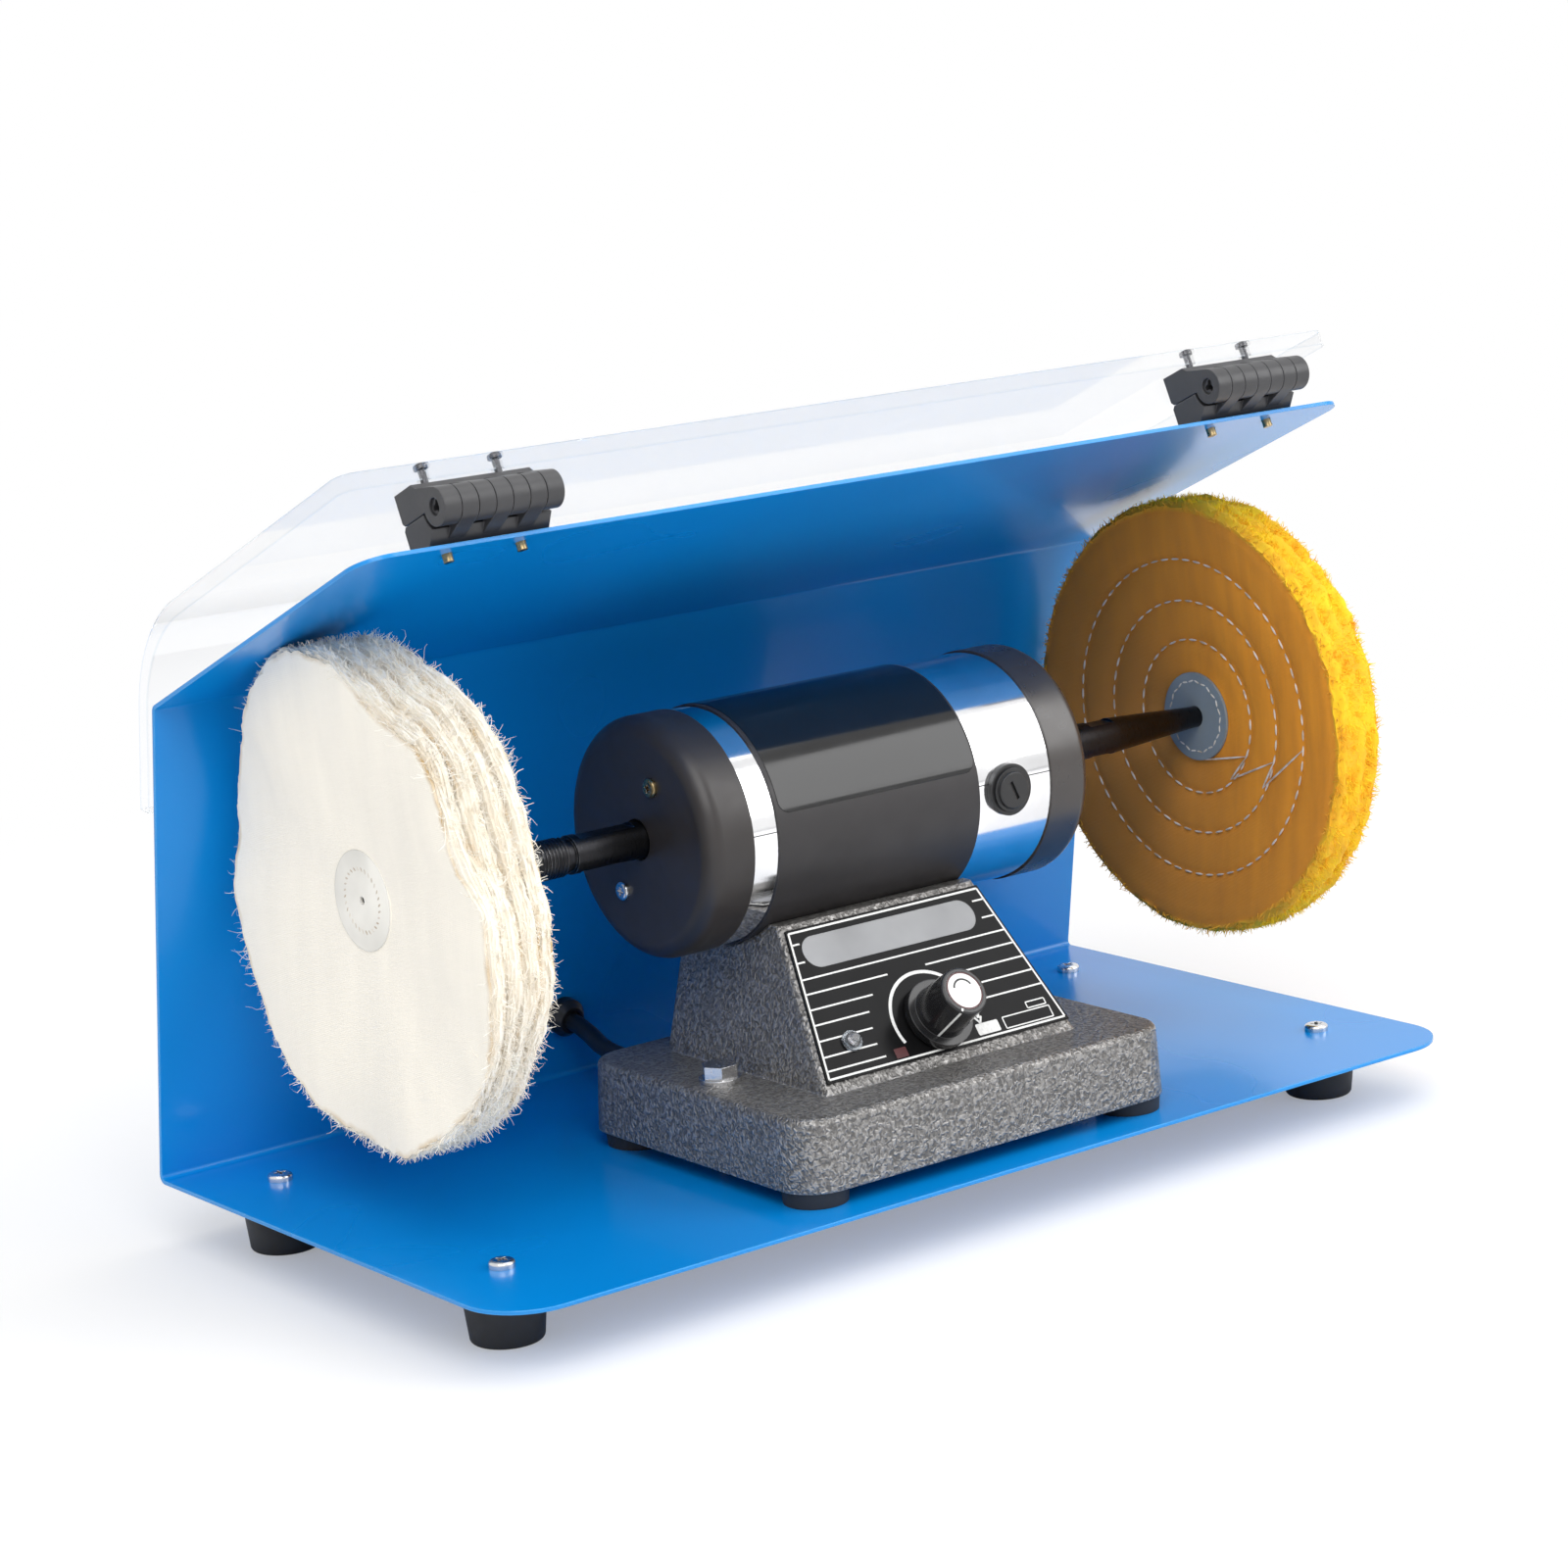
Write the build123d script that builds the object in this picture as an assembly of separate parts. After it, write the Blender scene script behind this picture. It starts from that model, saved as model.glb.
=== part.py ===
from build123d import *
import os
from math import acos, atan2, ceil, cos, degrees, pi, radians, sin, tan

# Bench polisher for jewelry: a bent sheet housing on rubber feet with a hinged clear hood, and in it a
# two-ended motor on a cast pedestal that drives a loose white buff and a stitched yellow buff.
# Millimetres. X runs along the motor shaft, Y to the back, Z up, and Z = 0 is the bench top.

# Housing sheet
housing_length = 375.0
housing_depth = 194.0
sheet = 1.2
bend_radius = 1.5
base_corner = 20.0
roof_corner = 10.0
back_height = 153.5
back_lean = 25.0
roof_run = 128.0
roof_rise = 55.0

# Rubber feet of the housing, with their screws and nuts
foot_height = 20.0
foot_top_radius = 13.0
foot_bottom_radius = 10.8
foot_edge = 1.2
foot_x = 162.0
foot_front_y = -57.0
foot_back_y = 67.0
foot_pocket_radius = 5.2
foot_pocket_depth = 12.0
foot_screw_radius = 2.0
foot_screw_head_radius = 3.9
foot_screw_head_height = 2.4
foot_screw_below_nut = 2.0
foot_nut_width = 7.0
foot_nut_height = 3.2

# Fits
screw_play = 0.1
running_play = 0.05
seat_gap = 0.1
moving_gap = 0.3

# Hinges of the hood
hinge_x = 144.5
hinge_length = 39.5
leaf_height = 9.2
leaf_rear = 12.2
leaf_front_foot = 2.5
leaf_front_angle = 51.0
leaf_chamfer = 1.0
barrel_radius = 5.5
barrel_overhang = 6.0
barrel_room = 1.2
knuckle_count = 7
web_foot_share = 0.3
hinge_pin_radius = 2.5
hinge_pin_inset = 0.8
hinge_screw_spacing = 24.5
hinge_screw_back = 6.7
hinge_screw_radius = 1.5
hinge_screw_head_radius = 2.8
hinge_screw_tip = 2.4
hood_screw_radius = 1.1
hood_screw_head_radius = 2.1
hood_screw_head_height = 1.6
hood_screw_depth = 6.5

# Clear hood
hood_length = 375.0
hood_thickness = 5.0
hood_front = -1.0
hood_flat = 108.0
hood_bend_radius = 42.0
hood_tail = 32.0
hood_corner = 5.0

# Cast pedestal: slab, neck and saddle
machine_x = -1.5
slab_width = 147.0
slab_front_y = -87.5
slab_back_y = 28.0
slab_height = 22.2
slab_corner = 13.0
slab_draft = 3.0
slab_edge = 2.0
slab_wall = 4.0
neck_bottom_width = 99.0
neck_top_width = 77.0
neck_bottom_front_y = -68.0
neck_top_front_y = -35.0
neck_back_y = 14.0
neck_height = 44.6
neck_wall = 5.0
neck_corner = 2.5
saddle_wall = 4.0

# Underside of the pedestal
pedestal_foot_height = 5.0
pedestal_foot_radius = 10.3
pedestal_foot_bottom_radius = 9.8
pedestal_foot_x = 62.0
pedestal_foot_front_y = -76.0
pedestal_foot_back_y = 14.0
bottom_plate = 1.2
bottom_plate_ledge = 2.0
bottom_plate_play = 0.2
corner_boss_radius = 5.0
plate_screw_radius = 1.5
plate_screw_head_radius = 3.0
plate_screw_head_height = 2.0
plate_screw_depth = 10.0
plate_screw_seat = 1.8

# Bolts that hold the pedestal on the housing base
bolt_x = 60.0
bolt_y = -29.0
bolt_radius = 3.0
bolt_head_width = 10.0
bolt_head_height = 4.0
bolt_flange_radius = 6.5
bolt_flange = 1.5
bolt_boss_radius = 7.5
bolt_nut_height = 5.0
bolt_below_nut = 2.0

# Motor
motor_y = -5.0
motor_z = 121.5
tube_radius = 37.0
tube_wall = 2.0
sleeve_wall = 0.45
sleeve_length = 78.6
sleeve_x = -4.1
left_band = 9.3
right_band = 29.7
cap_radius = 37.5
cap_length = 16.4
cap_wall = 2.5
cap_rim = 2.7
left_cap_round = 5.5
right_cap_round = 4.0
cap_shaft_hole = 6.4
cap_screw_circle = 19.5
cap_screw_angle = 118.0
cap_screw_radius = 2.0
cap_screw_head_radius = 3.0
cap_screw_head_height = 1.4
cap_screw_depth = 8.0

# Bearings and their brackets
bearing_bore = 4.0
bearing_inner_ring = 1.9
bearing_outer_radius = 11.0
bearing_outer_ring = 2.0
bearing_width = 7.0
ball_count = 8
bracket_plate = 4.0
bracket_inset = 1.0
bracket_boss_radius = 14.0
bracket_boss_reach = 10.0
bracket_hole_radius = 7.5
bracket_post_radius = 4.0
bracket_vent_radius = 4.5
bracket_vent_circle = 25.0
bracket_vent_count = 4

# Field and armature
core_length = 44.0
core_x = -6.0
core_ring = 7.6
armature_radius = 20.0
air_gap = 0.6
pole_shoe = 3.0
pole_shoe_angle = 56.0
pole_angle = 30.0
coil_play = 0.2
coil_end = 5.0
slot_count = 12
slot_depth = 8.0
slot_width = 4.0
winding_play = 0.15
winding_end = 9.0
winding_end_radius = 18.0
shaft_core_radius = 5.0
commutator_radius = 11.0
commutator_length = 22.0
commutator_bars = 16
commutator_groove = 0.6
commutator_groove_depth = 0.8
fan_radius = 31.0
fan_hub_radius = 9.0
fan_disc = 1.5
fan_blade = 4.0
fan_blade_thickness = 1.5
fan_blade_count = 10
fan_x = -41.0

# Brush gear
brush_x = 46.9
brush_size = 6.0
brush_length = 13.5
brush_play = 0.15
holder_radius = 6.5
holder_inner_reach = 13.0
holder_flange_radius = 8.2
holder_flange_reach = 38.7
holder_thread_radius = 5.2
holder_thread_depth = 5.5
brush_cap_radius = 7.0
brush_cap_rim = 0.9
brush_cap_face_radius = 5.9
brush_cap_height = 1.9
brush_cap_slot = 1.1
brush_cap_slot_length = 6.4
brush_cap_slot_angle = 115.0
brush_cap_slot_depth = 1.0
brush_spring_radius = 2.7
brush_spring_wall = 0.7

# Motor screws in the saddle
saddle_screw_x = (-25.0, 17.0)
saddle_screw_radius = 2.0
saddle_screw_head_radius = 3.5
saddle_screw_head_height = 2.6

# Control panel on the front of the neck
panel_plate = 0.8
panel_margin = 1.0
panel_bottom_slope = 3.5
panel_top_slope = 53.5
knob_slope = 15.0
lamp_from_side = 13.6
lamp_slope = 14.5
lamp_radius = 2.5
lamp_flange_radius = 3.3
lamp_flange = 1.0
lamp_dome_height = 2.2
bush_radius = 3.5
bush_height = 5.0
control_nut_width = 10.0
control_nut_height = 2.2
control_body_radius = 8.5
control_body_length = 10.0
control_shaft_radius = 3.0
control_shaft_reach = 14.5
control_shaft_inside = 6.0
board_width = 46.0
board_height = 32.0
board_thickness = 1.6
knob_gap = 0.8
knob_skirt_radius = 11.2
knob_skirt_height = 2.8
knob_base_radius = 8.7
knob_top_radius = 7.8
knob_height = 18.5
knob_room_radius = 7.0
knob_room_height = 5.5
knob_cap_radius = 6.3
knob_cap_thickness = 1.2
knob_edge = 0.8

# Spindles on the motor shaft
spindle_radius = 6.0
spindle_bore_depth = 24.0
spindle_flat = 10.0
left_shank = 25.5
left_groove_width = 2.5
left_groove_radius = 5.0
left_thread_radius = 5.7
left_thread_length = 21.0
left_tip_x = -163.5
left_tip_radius = 2.4
right_shank = 40.9
right_tip_x = 172.5
right_tip_radius = 2.8
left_flat_length = 20.0
right_flat_length = 10.0

# Buffs
white_x = -160.0
white_radius = 74.5
white_hub_half = 5.8
white_rim_half = 8.6
white_plies = 6
white_ply_depth = 4.0
yellow_x = 168.5
yellow_radius = 73.5
yellow_hub_half = 5.7
yellow_rim_half = 7.8
yellow_plies = 4
yellow_ply_depth = 1.6
hub_flat_radius = 17.0
rim_start = 0.8
pinhole_radius = 1.2
disc_radius = 15.0
disc_thickness = 1.0
buff_play = 0.08

# Cord, with its grommet, gland, coil, tie and plug
cord_radius = 3.0
grommet_x = -37.0
grommet_height = 23.0
grommet_radius = 6.4
grommet_neck_radius = 5.0
grommet_dome = 6.0
grommet_flange = 2.5
gland_x = -42.0
gland_z = 37.0
gland_radius = 6.5
gland_neck_radius = 4.5
gland_flange = 2.0
gland_nose = 18.0
coil_x = 78.0
coil_y = 162.0
coil_clear = 1.4
coil_pitch = 6.6
coil_outer = 46.2
coil_lower_half_turns = 7
coil_upper_half_turns = 6
tie_width = 6.0
tie_thickness = 0.9
plug_lead = 36.0
plug_relief_length = 18.0
plug_relief_radius = 5.0
plug_width = 36.0
plug_thickness = 19.0
plug_taper = 14.0
plug_body_length = 18.0
plug_corner = 6.0
plug_pin_radius = 2.4
plug_pin_length = 19.0
plug_pin_spacing = 19.0

# Places that follow from the sizes above
base_z = foot_height
base_top_z = base_z + sheet
front_y = -housing_depth / 2
back_angle = atan2(back_lean, back_height)
bend_set_back = (bend_radius + sheet) * (tan(pi / 4 + back_angle / 2) - 1)
back_y = housing_depth / 2 + bend_set_back
corner_y = back_y - back_lean
corner_z = base_z + back_height
edge_y = corner_y - roof_run
edge_z = corner_z + roof_rise
back_out = Vector(0, cos(back_angle), sin(back_angle))
roof_angle = atan2(roof_rise, roof_run)
roof_back = Vector(0, cos(roof_angle), -sin(roof_angle))
roof_up = Vector(0, sin(roof_angle), cos(roof_angle))
roof_edge = Vector(0, edge_y, edge_z)
roof_section = Plane(origin=roof_edge, x_dir=roof_back, z_dir=(1, 0, 0))

slab_bottom_z = base_top_z + pedestal_foot_height
slab_top_z = slab_bottom_z + slab_height
slab_depth = slab_back_y - slab_front_y
slab_y = (slab_back_y + slab_front_y) / 2
neck_top_z = slab_top_z + neck_height
panel_angle = atan2(neck_height, neck_top_front_y - neck_bottom_front_y)
panel_up = Vector(0, cos(panel_angle), sin(panel_angle))
panel_out = Vector(0, -sin(panel_angle), cos(panel_angle))
panel_foot = Vector(machine_x, neck_bottom_front_y, slab_top_z)
panel_wall = neck_wall * sin(panel_angle)

sleeve_radius = tube_radius + sleeve_wall + running_play
tube_bore = tube_radius - tube_wall
tube_left = sleeve_x - sleeve_length / 2 - left_band
tube_right = sleeve_x + sleeve_length / 2 + right_band
cap_left = tube_left - cap_length
cap_right = tube_right + cap_length
saddle_radius = sleeve_radius + seat_gap
core_radius = tube_bore - seat_gap
core_bore = armature_radius + air_gap

pin_back = -barrel_overhang
pin_up = leaf_height + moving_gap / 2
hood_under = 2 * pin_up

grommet_point = Vector(grommet_x, back_y - grommet_height * tan(back_angle), base_z + grommet_height)


def hex_prism(width, height):
    """Hexagon across flats, standing on Z = 0."""
    return extrude(RegularPolygon(width / 2, 6, major_radius=False), height)


def disc(radius, bottom, top):
    """Cylinder about Z between two heights."""
    return Pos(0, 0, (bottom + top) / 2) * Cylinder(radius, top - bottom)


def pan_screw(head_radius, head_height, shank_radius, length):
    """Screw along Z whose head sits on Z = 0 and whose shank goes down."""
    head = disc(head_radius, 0, head_height)
    head = fillet(head.edges().group_by(Axis.Z)[-1], head_height * 0.45)
    return head + disc(shank_radius, -length, 0)


def nut(width, height, hole):
    """Hexagon nut hanging below Z = 0."""
    return Pos(0, 0, -height) * hex_prism(width, height) - disc(hole, -height, 0)


def along_x(radius, left, right):
    """Cylinder about the X axis between two stations."""
    return Pos((left + right) / 2, 0, 0) * Rot(0, 90, 0) * Cylinder(radius, right - left)


def turned(points):
    """Solid of revolution about X from (station, radius) points."""
    return revolve(make_face(Polyline(*points, close=True)), Axis.X)


def on_motor(shape):
    """Move a piece built about the X axis onto the motor axis."""
    return Pos(0, motor_y, motor_z) * shape


def roof_frame(x, back, up):
    """Location on the roof whose Z is the roof's outward normal."""
    origin = roof_edge + roof_back * back + roof_up * up + Vector(x, 0, 0)
    return Plane(origin=origin, x_dir=(1, 0, 0), z_dir=roof_up).location


def panel_frame(x, slope, out):
    """Location on the sloping front of the neck whose Z points out of it."""
    origin = panel_foot + panel_up * slope + panel_out * out + Vector(x, 0, 0)
    return Plane(origin=origin, x_dir=(1, 0, 0), z_dir=panel_out).location


def group(shapes):
    """Several separate solids of one kind."""
    return Compound([solid for shape in shapes for solid in shape.solids()])


parts = {}

# Housing sheet, bent from one piece
foot_places = [(side * foot_x, y) for side in (-1, 1) for y in (foot_front_y, foot_back_y)]
bolt_places = [(machine_x + side * bolt_x, bolt_y) for side in (-1, 1)]
hinge_screw_places = [
    hinge + side * hinge_screw_spacing / 2 for hinge in (-hinge_x, hinge_x) for side in (-1, 1)
]
profile_path = FilletPolyline(
    (front_y, base_z),
    (back_y, base_z),
    (corner_y, corner_z),
    (edge_y, edge_z),
    radius=bend_radius + sheet,
)
profile_face = make_face(offset(profile_path, sheet, side=Side.LEFT))
housing = extrude(Plane.YZ * profile_face, housing_length / 2, both=True)
housing = fillet(housing.edges().filter_by(Axis.Z), base_corner)
housing = fillet(housing.edges().filter_by(Axis(roof_edge, roof_up)), roof_corner)
for x, y in foot_places:
    housing -= Pos(x, y, base_z) * disc(foot_screw_radius + screw_play, -sheet, 2 * sheet)
for x, y in bolt_places:
    housing -= Pos(x, y, base_z) * disc(bolt_radius + screw_play, -sheet, 2 * sheet)
for x in hinge_screw_places:
    housing -= roof_frame(x, hinge_screw_back, 0) * disc(hinge_screw_radius + screw_play, -2 * sheet, sheet)
grommet_frame = Plane(origin=grommet_point, x_dir=(1, 0, 0), z_dir=back_out).location
housing -= grommet_frame * disc(grommet_neck_radius + screw_play, -2 * sheet, sheet)
parts["housing_shell"] = housing

# Rubber feet of the housing
foot = Pos(0, 0, foot_height / 2) * Cone(foot_bottom_radius, foot_top_radius, foot_height)
foot = fillet(foot.edges().group_by(Axis.Z)[0], foot_edge)
foot -= disc(foot_pocket_radius, 0, foot_pocket_depth)
foot -= disc(foot_screw_radius + screw_play, 0, foot_height)
foot_screw_length = base_top_z - foot_pocket_depth + foot_nut_height + foot_screw_below_nut
foot_screw = pan_screw(
    foot_screw_head_radius, foot_screw_head_height, foot_screw_radius, foot_screw_length
)
foot_nut = nut(foot_nut_width, foot_nut_height, foot_screw_radius + screw_play)
parts["housing_feet"] = group([Pos(x, y, 0) * foot for x, y in foot_places])
parts["foot_screws"] = group([Pos(x, y, base_top_z) * foot_screw for x, y in foot_places])
parts["foot_nuts"] = group([Pos(x, y, foot_pocket_depth) * foot_nut for x, y in foot_places])


# Hinge leaves, drawn in the section across the roof: first back along the roof, then up from it
leaf_meets_barrel = (
    pin_back + barrel_radius * cos(radians(leaf_front_angle)),
    pin_up - barrel_radius * sin(radians(leaf_front_angle)),
)
web_foot = (
    leaf_front_foot + web_foot_share * (leaf_meets_barrel[0] - leaf_front_foot),
    web_foot_share * leaf_meets_barrel[1],
)
web_run = Vector(web_foot[0] - pin_back, web_foot[1] - pin_up)
web_angle = atan2(web_run.Y, web_run.X) - acos(barrel_radius / web_run.length)
web_meets_barrel = (pin_back + barrel_radius * cos(web_angle), pin_up + barrel_radius * sin(web_angle))


def hinge_leaf(own_knuckles):
    """Leaf that sits on the roof, with its own knuckles and room for the other leaf's."""
    block = make_face(
        Polyline(
            (leaf_front_foot, 0),
            (leaf_rear, 0),
            (leaf_rear, leaf_height - leaf_chamfer),
            (leaf_rear - leaf_chamfer, leaf_height),
            (pin_back, leaf_height),
            leaf_meets_barrel,
            close=True,
        )
    )
    web = make_face(
        Polyline(web_foot, leaf_meets_barrel, (pin_back, pin_up), web_meets_barrel, close=True)
    )
    knuckle = block + web + Pos(pin_back, pin_up) * Circle(barrel_radius)
    knuckle -= Pos(pin_back, pin_up) * Circle(hinge_pin_radius + running_play)
    hollow = block - Pos(pin_back, pin_up) * Circle(barrel_radius + barrel_room)
    step = hinge_length / knuckle_count
    leaf = Part()
    for index in range(knuckle_count):
        start = -hinge_length / 2 + index * step
        end = start + step
        own = index in own_knuckles
        trim = moving_gap / 2 if own else -moving_gap / 2
        start += trim if index > 0 else 0
        end -= trim if index < knuckle_count - 1 else 0
        leaf += Pos(0, 0, start) * extrude(knuckle if own else hollow, end - start)
    return leaf


def flipped(shape):
    """Mirror a roof leaf about the pin's height, which makes a hood leaf."""
    return mirror(shape, about=Plane(origin=(0, pin_up, 0), z_dir=(0, 1, 0)))


outer_knuckles = range(0, knuckle_count, 2)
inner_knuckles = range(1, knuckle_count, 2)
roof_leaf = hinge_leaf(inner_knuckles)
hood_leaf = flipped(hinge_leaf(outer_knuckles))
hinge_pin_length = hinge_length - 2 * hinge_pin_inset
for name, x in (("left", -hinge_x), ("right", hinge_x)):
    place = roof_section.location * Pos(0, 0, x)
    lower = place * roof_leaf
    upper = place * hood_leaf
    for screw_x in (x - hinge_screw_spacing / 2, x + hinge_screw_spacing / 2):
        top = roof_frame(screw_x, hinge_screw_back, leaf_height)
        lower -= top * disc(hinge_screw_radius + screw_play, -leaf_height, 0)
        sink = hinge_screw_head_radius - hinge_screw_radius
        lower -= top * Pos(0, 0, -sink / 2) * Cone(
            hinge_screw_radius + screw_play, hinge_screw_head_radius + screw_play, sink
        )
        crown = roof_frame(screw_x, hinge_screw_back, hood_under)
        upper -= crown * disc(hood_screw_radius + screw_play, -hood_screw_depth - 2 * screw_play, 0)
    parts[f"{name}_hinge_roof_leaf"] = lower
    parts[f"{name}_hinge_hood_leaf"] = upper
pin_line = roof_section.location * Pos(pin_back, pin_up, 0)
hinge_pin = pin_line * Cylinder(hinge_pin_radius, hinge_pin_length)
parts["hinge_pins"] = group([Pos(x, 0, 0) * hinge_pin for x in (-hinge_x, hinge_x)])

countersunk = hinge_screw_head_radius - hinge_screw_radius
roof_screw = Pos(0, 0, -countersunk / 2) * Cone(hinge_screw_radius, hinge_screw_head_radius, countersunk)
roof_screw += disc(hinge_screw_radius, -leaf_height - sheet - hinge_screw_tip, -countersunk)
hood_screw = pan_screw(
    hood_screw_head_radius,
    hood_screw_head_height,
    hood_screw_radius,
    hood_thickness + hood_screw_depth,
)
hood_top = hood_under + hood_thickness
parts["hinge_roof_screws"] = group(
    [roof_frame(x, hinge_screw_back, leaf_height) * roof_screw for x in hinge_screw_places]
)
parts["hood_screws"] = group(
    [roof_frame(x, hinge_screw_back, hood_top) * hood_screw for x in hinge_screw_places]
)

# Clear hood: a flat sheet over the roof that bends down behind the back wall
hood_bend = 90 - degrees(roof_angle) - degrees(back_angle)
under_flat = Line((hood_front, hood_under), (hood_flat, hood_under))
under_bend = JernArc(under_flat @ 1, under_flat % 1, hood_bend_radius, -hood_bend)
under_tail = Line(under_bend @ 1, under_bend @ 1 + (under_bend % 1) * hood_tail)
over_flat = Line((hood_front, hood_top), (hood_flat, hood_top))
over_bend = JernArc(over_flat @ 1, over_flat % 1, hood_bend_radius + hood_thickness, -hood_bend)
over_tail = Line(over_bend @ 1, over_bend @ 1 + (over_bend % 1) * hood_tail)
front_end = Line(over_flat @ 0, under_flat @ 0)
tail_end = Line(under_tail @ 1, over_tail @ 1)
hood_outline = Curve() + [
    under_flat, under_bend, under_tail, tail_end, over_tail, over_bend, over_flat, front_end
]
hood = extrude(roof_section * make_face(hood_outline), hood_length / 2, both=True)
hood = fillet(hood.edges().filter_by(Axis(roof_edge, roof_up)), hood_corner)
for x in hinge_screw_places:
    hood -= roof_frame(x, hinge_screw_back, hood_under) * disc(
        hood_screw_radius + screw_play, -sheet, hood_thickness + sheet
    )
parts["clear_hood"] = hood


# Pedestal casting
def slab_section(z, inset):
    """Rounded outline of the slab at a height, drawn in from its outside."""
    drawn = inset + (z - slab_bottom_z) * tan(radians(slab_draft))
    outline = RectangleRounded(
        slab_width - 2 * drawn, slab_depth - 2 * drawn, max(slab_corner - drawn, slab_wall / 2)
    )
    return Pos(machine_x, slab_y, z) * outline


def neck_section(z, inset):
    """Rounded outline of the tapering neck at a height, drawn in from its outside."""
    share = (z - slab_top_z) / neck_height
    width = neck_bottom_width + (neck_top_width - neck_bottom_width) * share
    front = neck_bottom_front_y + (neck_top_front_y - neck_bottom_front_y) * share
    outline = RectangleRounded(width - 2 * inset, neck_back_y - front - 2 * inset, neck_corner)
    return Pos(machine_x, (front + neck_back_y) / 2, z) * outline


def slab_back_at(z):
    """Outside of the slab's back wall at a height."""
    return slab_back_y - (z - slab_bottom_z) * tan(radians(slab_draft))


def face_half_width(slope):
    """Half the width of the neck's front face, measured up its slope."""
    share = slope * sin(panel_angle) / neck_height
    return (neck_bottom_width + (neck_top_width - neck_bottom_width) * share) / 2


lamp_x = lamp_from_side - face_half_width(lamp_slope)
slab_roof_z = slab_top_z - slab_wall
slab = loft([slab_section(slab_bottom_z, 0), slab_section(slab_top_z, 0)], ruled=True)
slab = fillet(slab.edges().group_by(Axis.Z)[-1], slab_edge)
neck = loft([neck_section(slab_roof_z, 0), neck_section(neck_top_z, 0)], ruled=True)
slab_hollow = loft([slab_section(slab_bottom_z, slab_wall), slab_section(slab_roof_z, slab_wall)], ruled=True)
neck_hollow = loft([neck_section(slab_roof_z, neck_wall), neck_section(neck_top_z, neck_wall)], ruled=True)
neck_hollow -= on_motor(along_x(saddle_radius + saddle_wall, -slab_width, slab_width))
casting = slab + neck - slab_hollow - neck_hollow
casting -= on_motor(along_x(saddle_radius, -slab_width, slab_width))
ledge_z = slab_bottom_z + bottom_plate
ledge_outline = slab_section(slab_bottom_z, bottom_plate_ledge)
pedestal_foot_places = [
    (machine_x + side * pedestal_foot_x, y)
    for side in (-1, 1)
    for y in (pedestal_foot_front_y, pedestal_foot_back_y)
]
for x, y in pedestal_foot_places:
    casting += Pos(x, y, 0) * disc(corner_boss_radius, ledge_z, slab_roof_z)
for x, y in bolt_places:
    casting += Pos(x, y, 0) * disc(bolt_boss_radius, ledge_z, slab_roof_z)
casting -= extrude(ledge_outline, bottom_plate)
for x, y in pedestal_foot_places:
    casting -= Pos(x, y, ledge_z) * disc(plate_screw_radius + screw_play, 0, plate_screw_depth)
for x, y in bolt_places:
    casting -= Pos(x, y, 0) * disc(bolt_radius + screw_play, slab_bottom_z, slab_top_z)
for x in saddle_screw_x:
    casting -= Pos(x, motor_y, motor_z) * disc(
        saddle_screw_radius + screw_play, -saddle_radius - 2 * saddle_wall, 0
    )
casting -= panel_frame(0, knob_slope, 0) * disc(bush_radius + screw_play, -2 * panel_wall, panel_wall)
casting -= panel_frame(lamp_x, lamp_slope, 0) * disc(lamp_radius + screw_play, -2 * panel_wall, panel_wall)
gland_frame = Plane(
    origin=(gland_x, slab_back_at(gland_z - gland_radius), gland_z), x_dir=(1, 0, 0), z_dir=(0, 1, 0)
).location
casting -= gland_frame * disc(gland_neck_radius + screw_play, -3 * slab_wall, slab_wall)
parts["pedestal_casting"] = casting

# Underside of the pedestal
plate = extrude(slab_section(slab_bottom_z, bottom_plate_ledge + bottom_plate_play), bottom_plate)
for x, y in pedestal_foot_places:
    plate -= Pos(x, y, slab_bottom_z) * disc(plate_screw_radius + screw_play, 0, bottom_plate)
for x, y in bolt_places:
    plate -= Pos(x, y, slab_bottom_z) * disc(bolt_radius + screw_play, 0, bottom_plate)
parts["pedestal_bottom_plate"] = plate

rubber = Pos(0, 0, -pedestal_foot_height / 2) * Cone(
    pedestal_foot_bottom_radius, pedestal_foot_radius, pedestal_foot_height
)
rubber -= disc(plate_screw_radius + screw_play, -pedestal_foot_height, 0)
rubber -= disc(plate_screw_head_radius + 2 * screw_play, -pedestal_foot_height, -plate_screw_seat)
plate_screw_length = plate_screw_seat + bottom_plate + plate_screw_depth - 2 * screw_play
plate_screw = Rot(180, 0, 0) * pan_screw(
    plate_screw_head_radius, plate_screw_head_height, plate_screw_radius, plate_screw_length
)
parts["pedestal_feet"] = group([Pos(x, y, slab_bottom_z) * rubber for x, y in pedestal_foot_places])
parts["pedestal_plate_screws"] = group(
    [Pos(x, y, slab_bottom_z - plate_screw_seat) * plate_screw for x, y in pedestal_foot_places]
)

bolt_length = slab_top_z - base_z + bolt_nut_height + bolt_below_nut
bolt = disc(bolt_flange_radius, 0, bolt_flange)
bolt += Pos(0, 0, bolt_flange) * hex_prism(bolt_head_width, bolt_head_height)
bolt += disc(bolt_radius, -bolt_length, 0)
bolt_nut = nut(bolt_head_width, bolt_nut_height, bolt_radius + screw_play)
parts["pedestal_bolts"] = group([Pos(x, y, slab_top_z) * bolt for x, y in bolt_places])
parts["pedestal_bolt_nuts"] = group([Pos(x, y, base_z) * bolt_nut for x, y in bolt_places])

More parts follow.
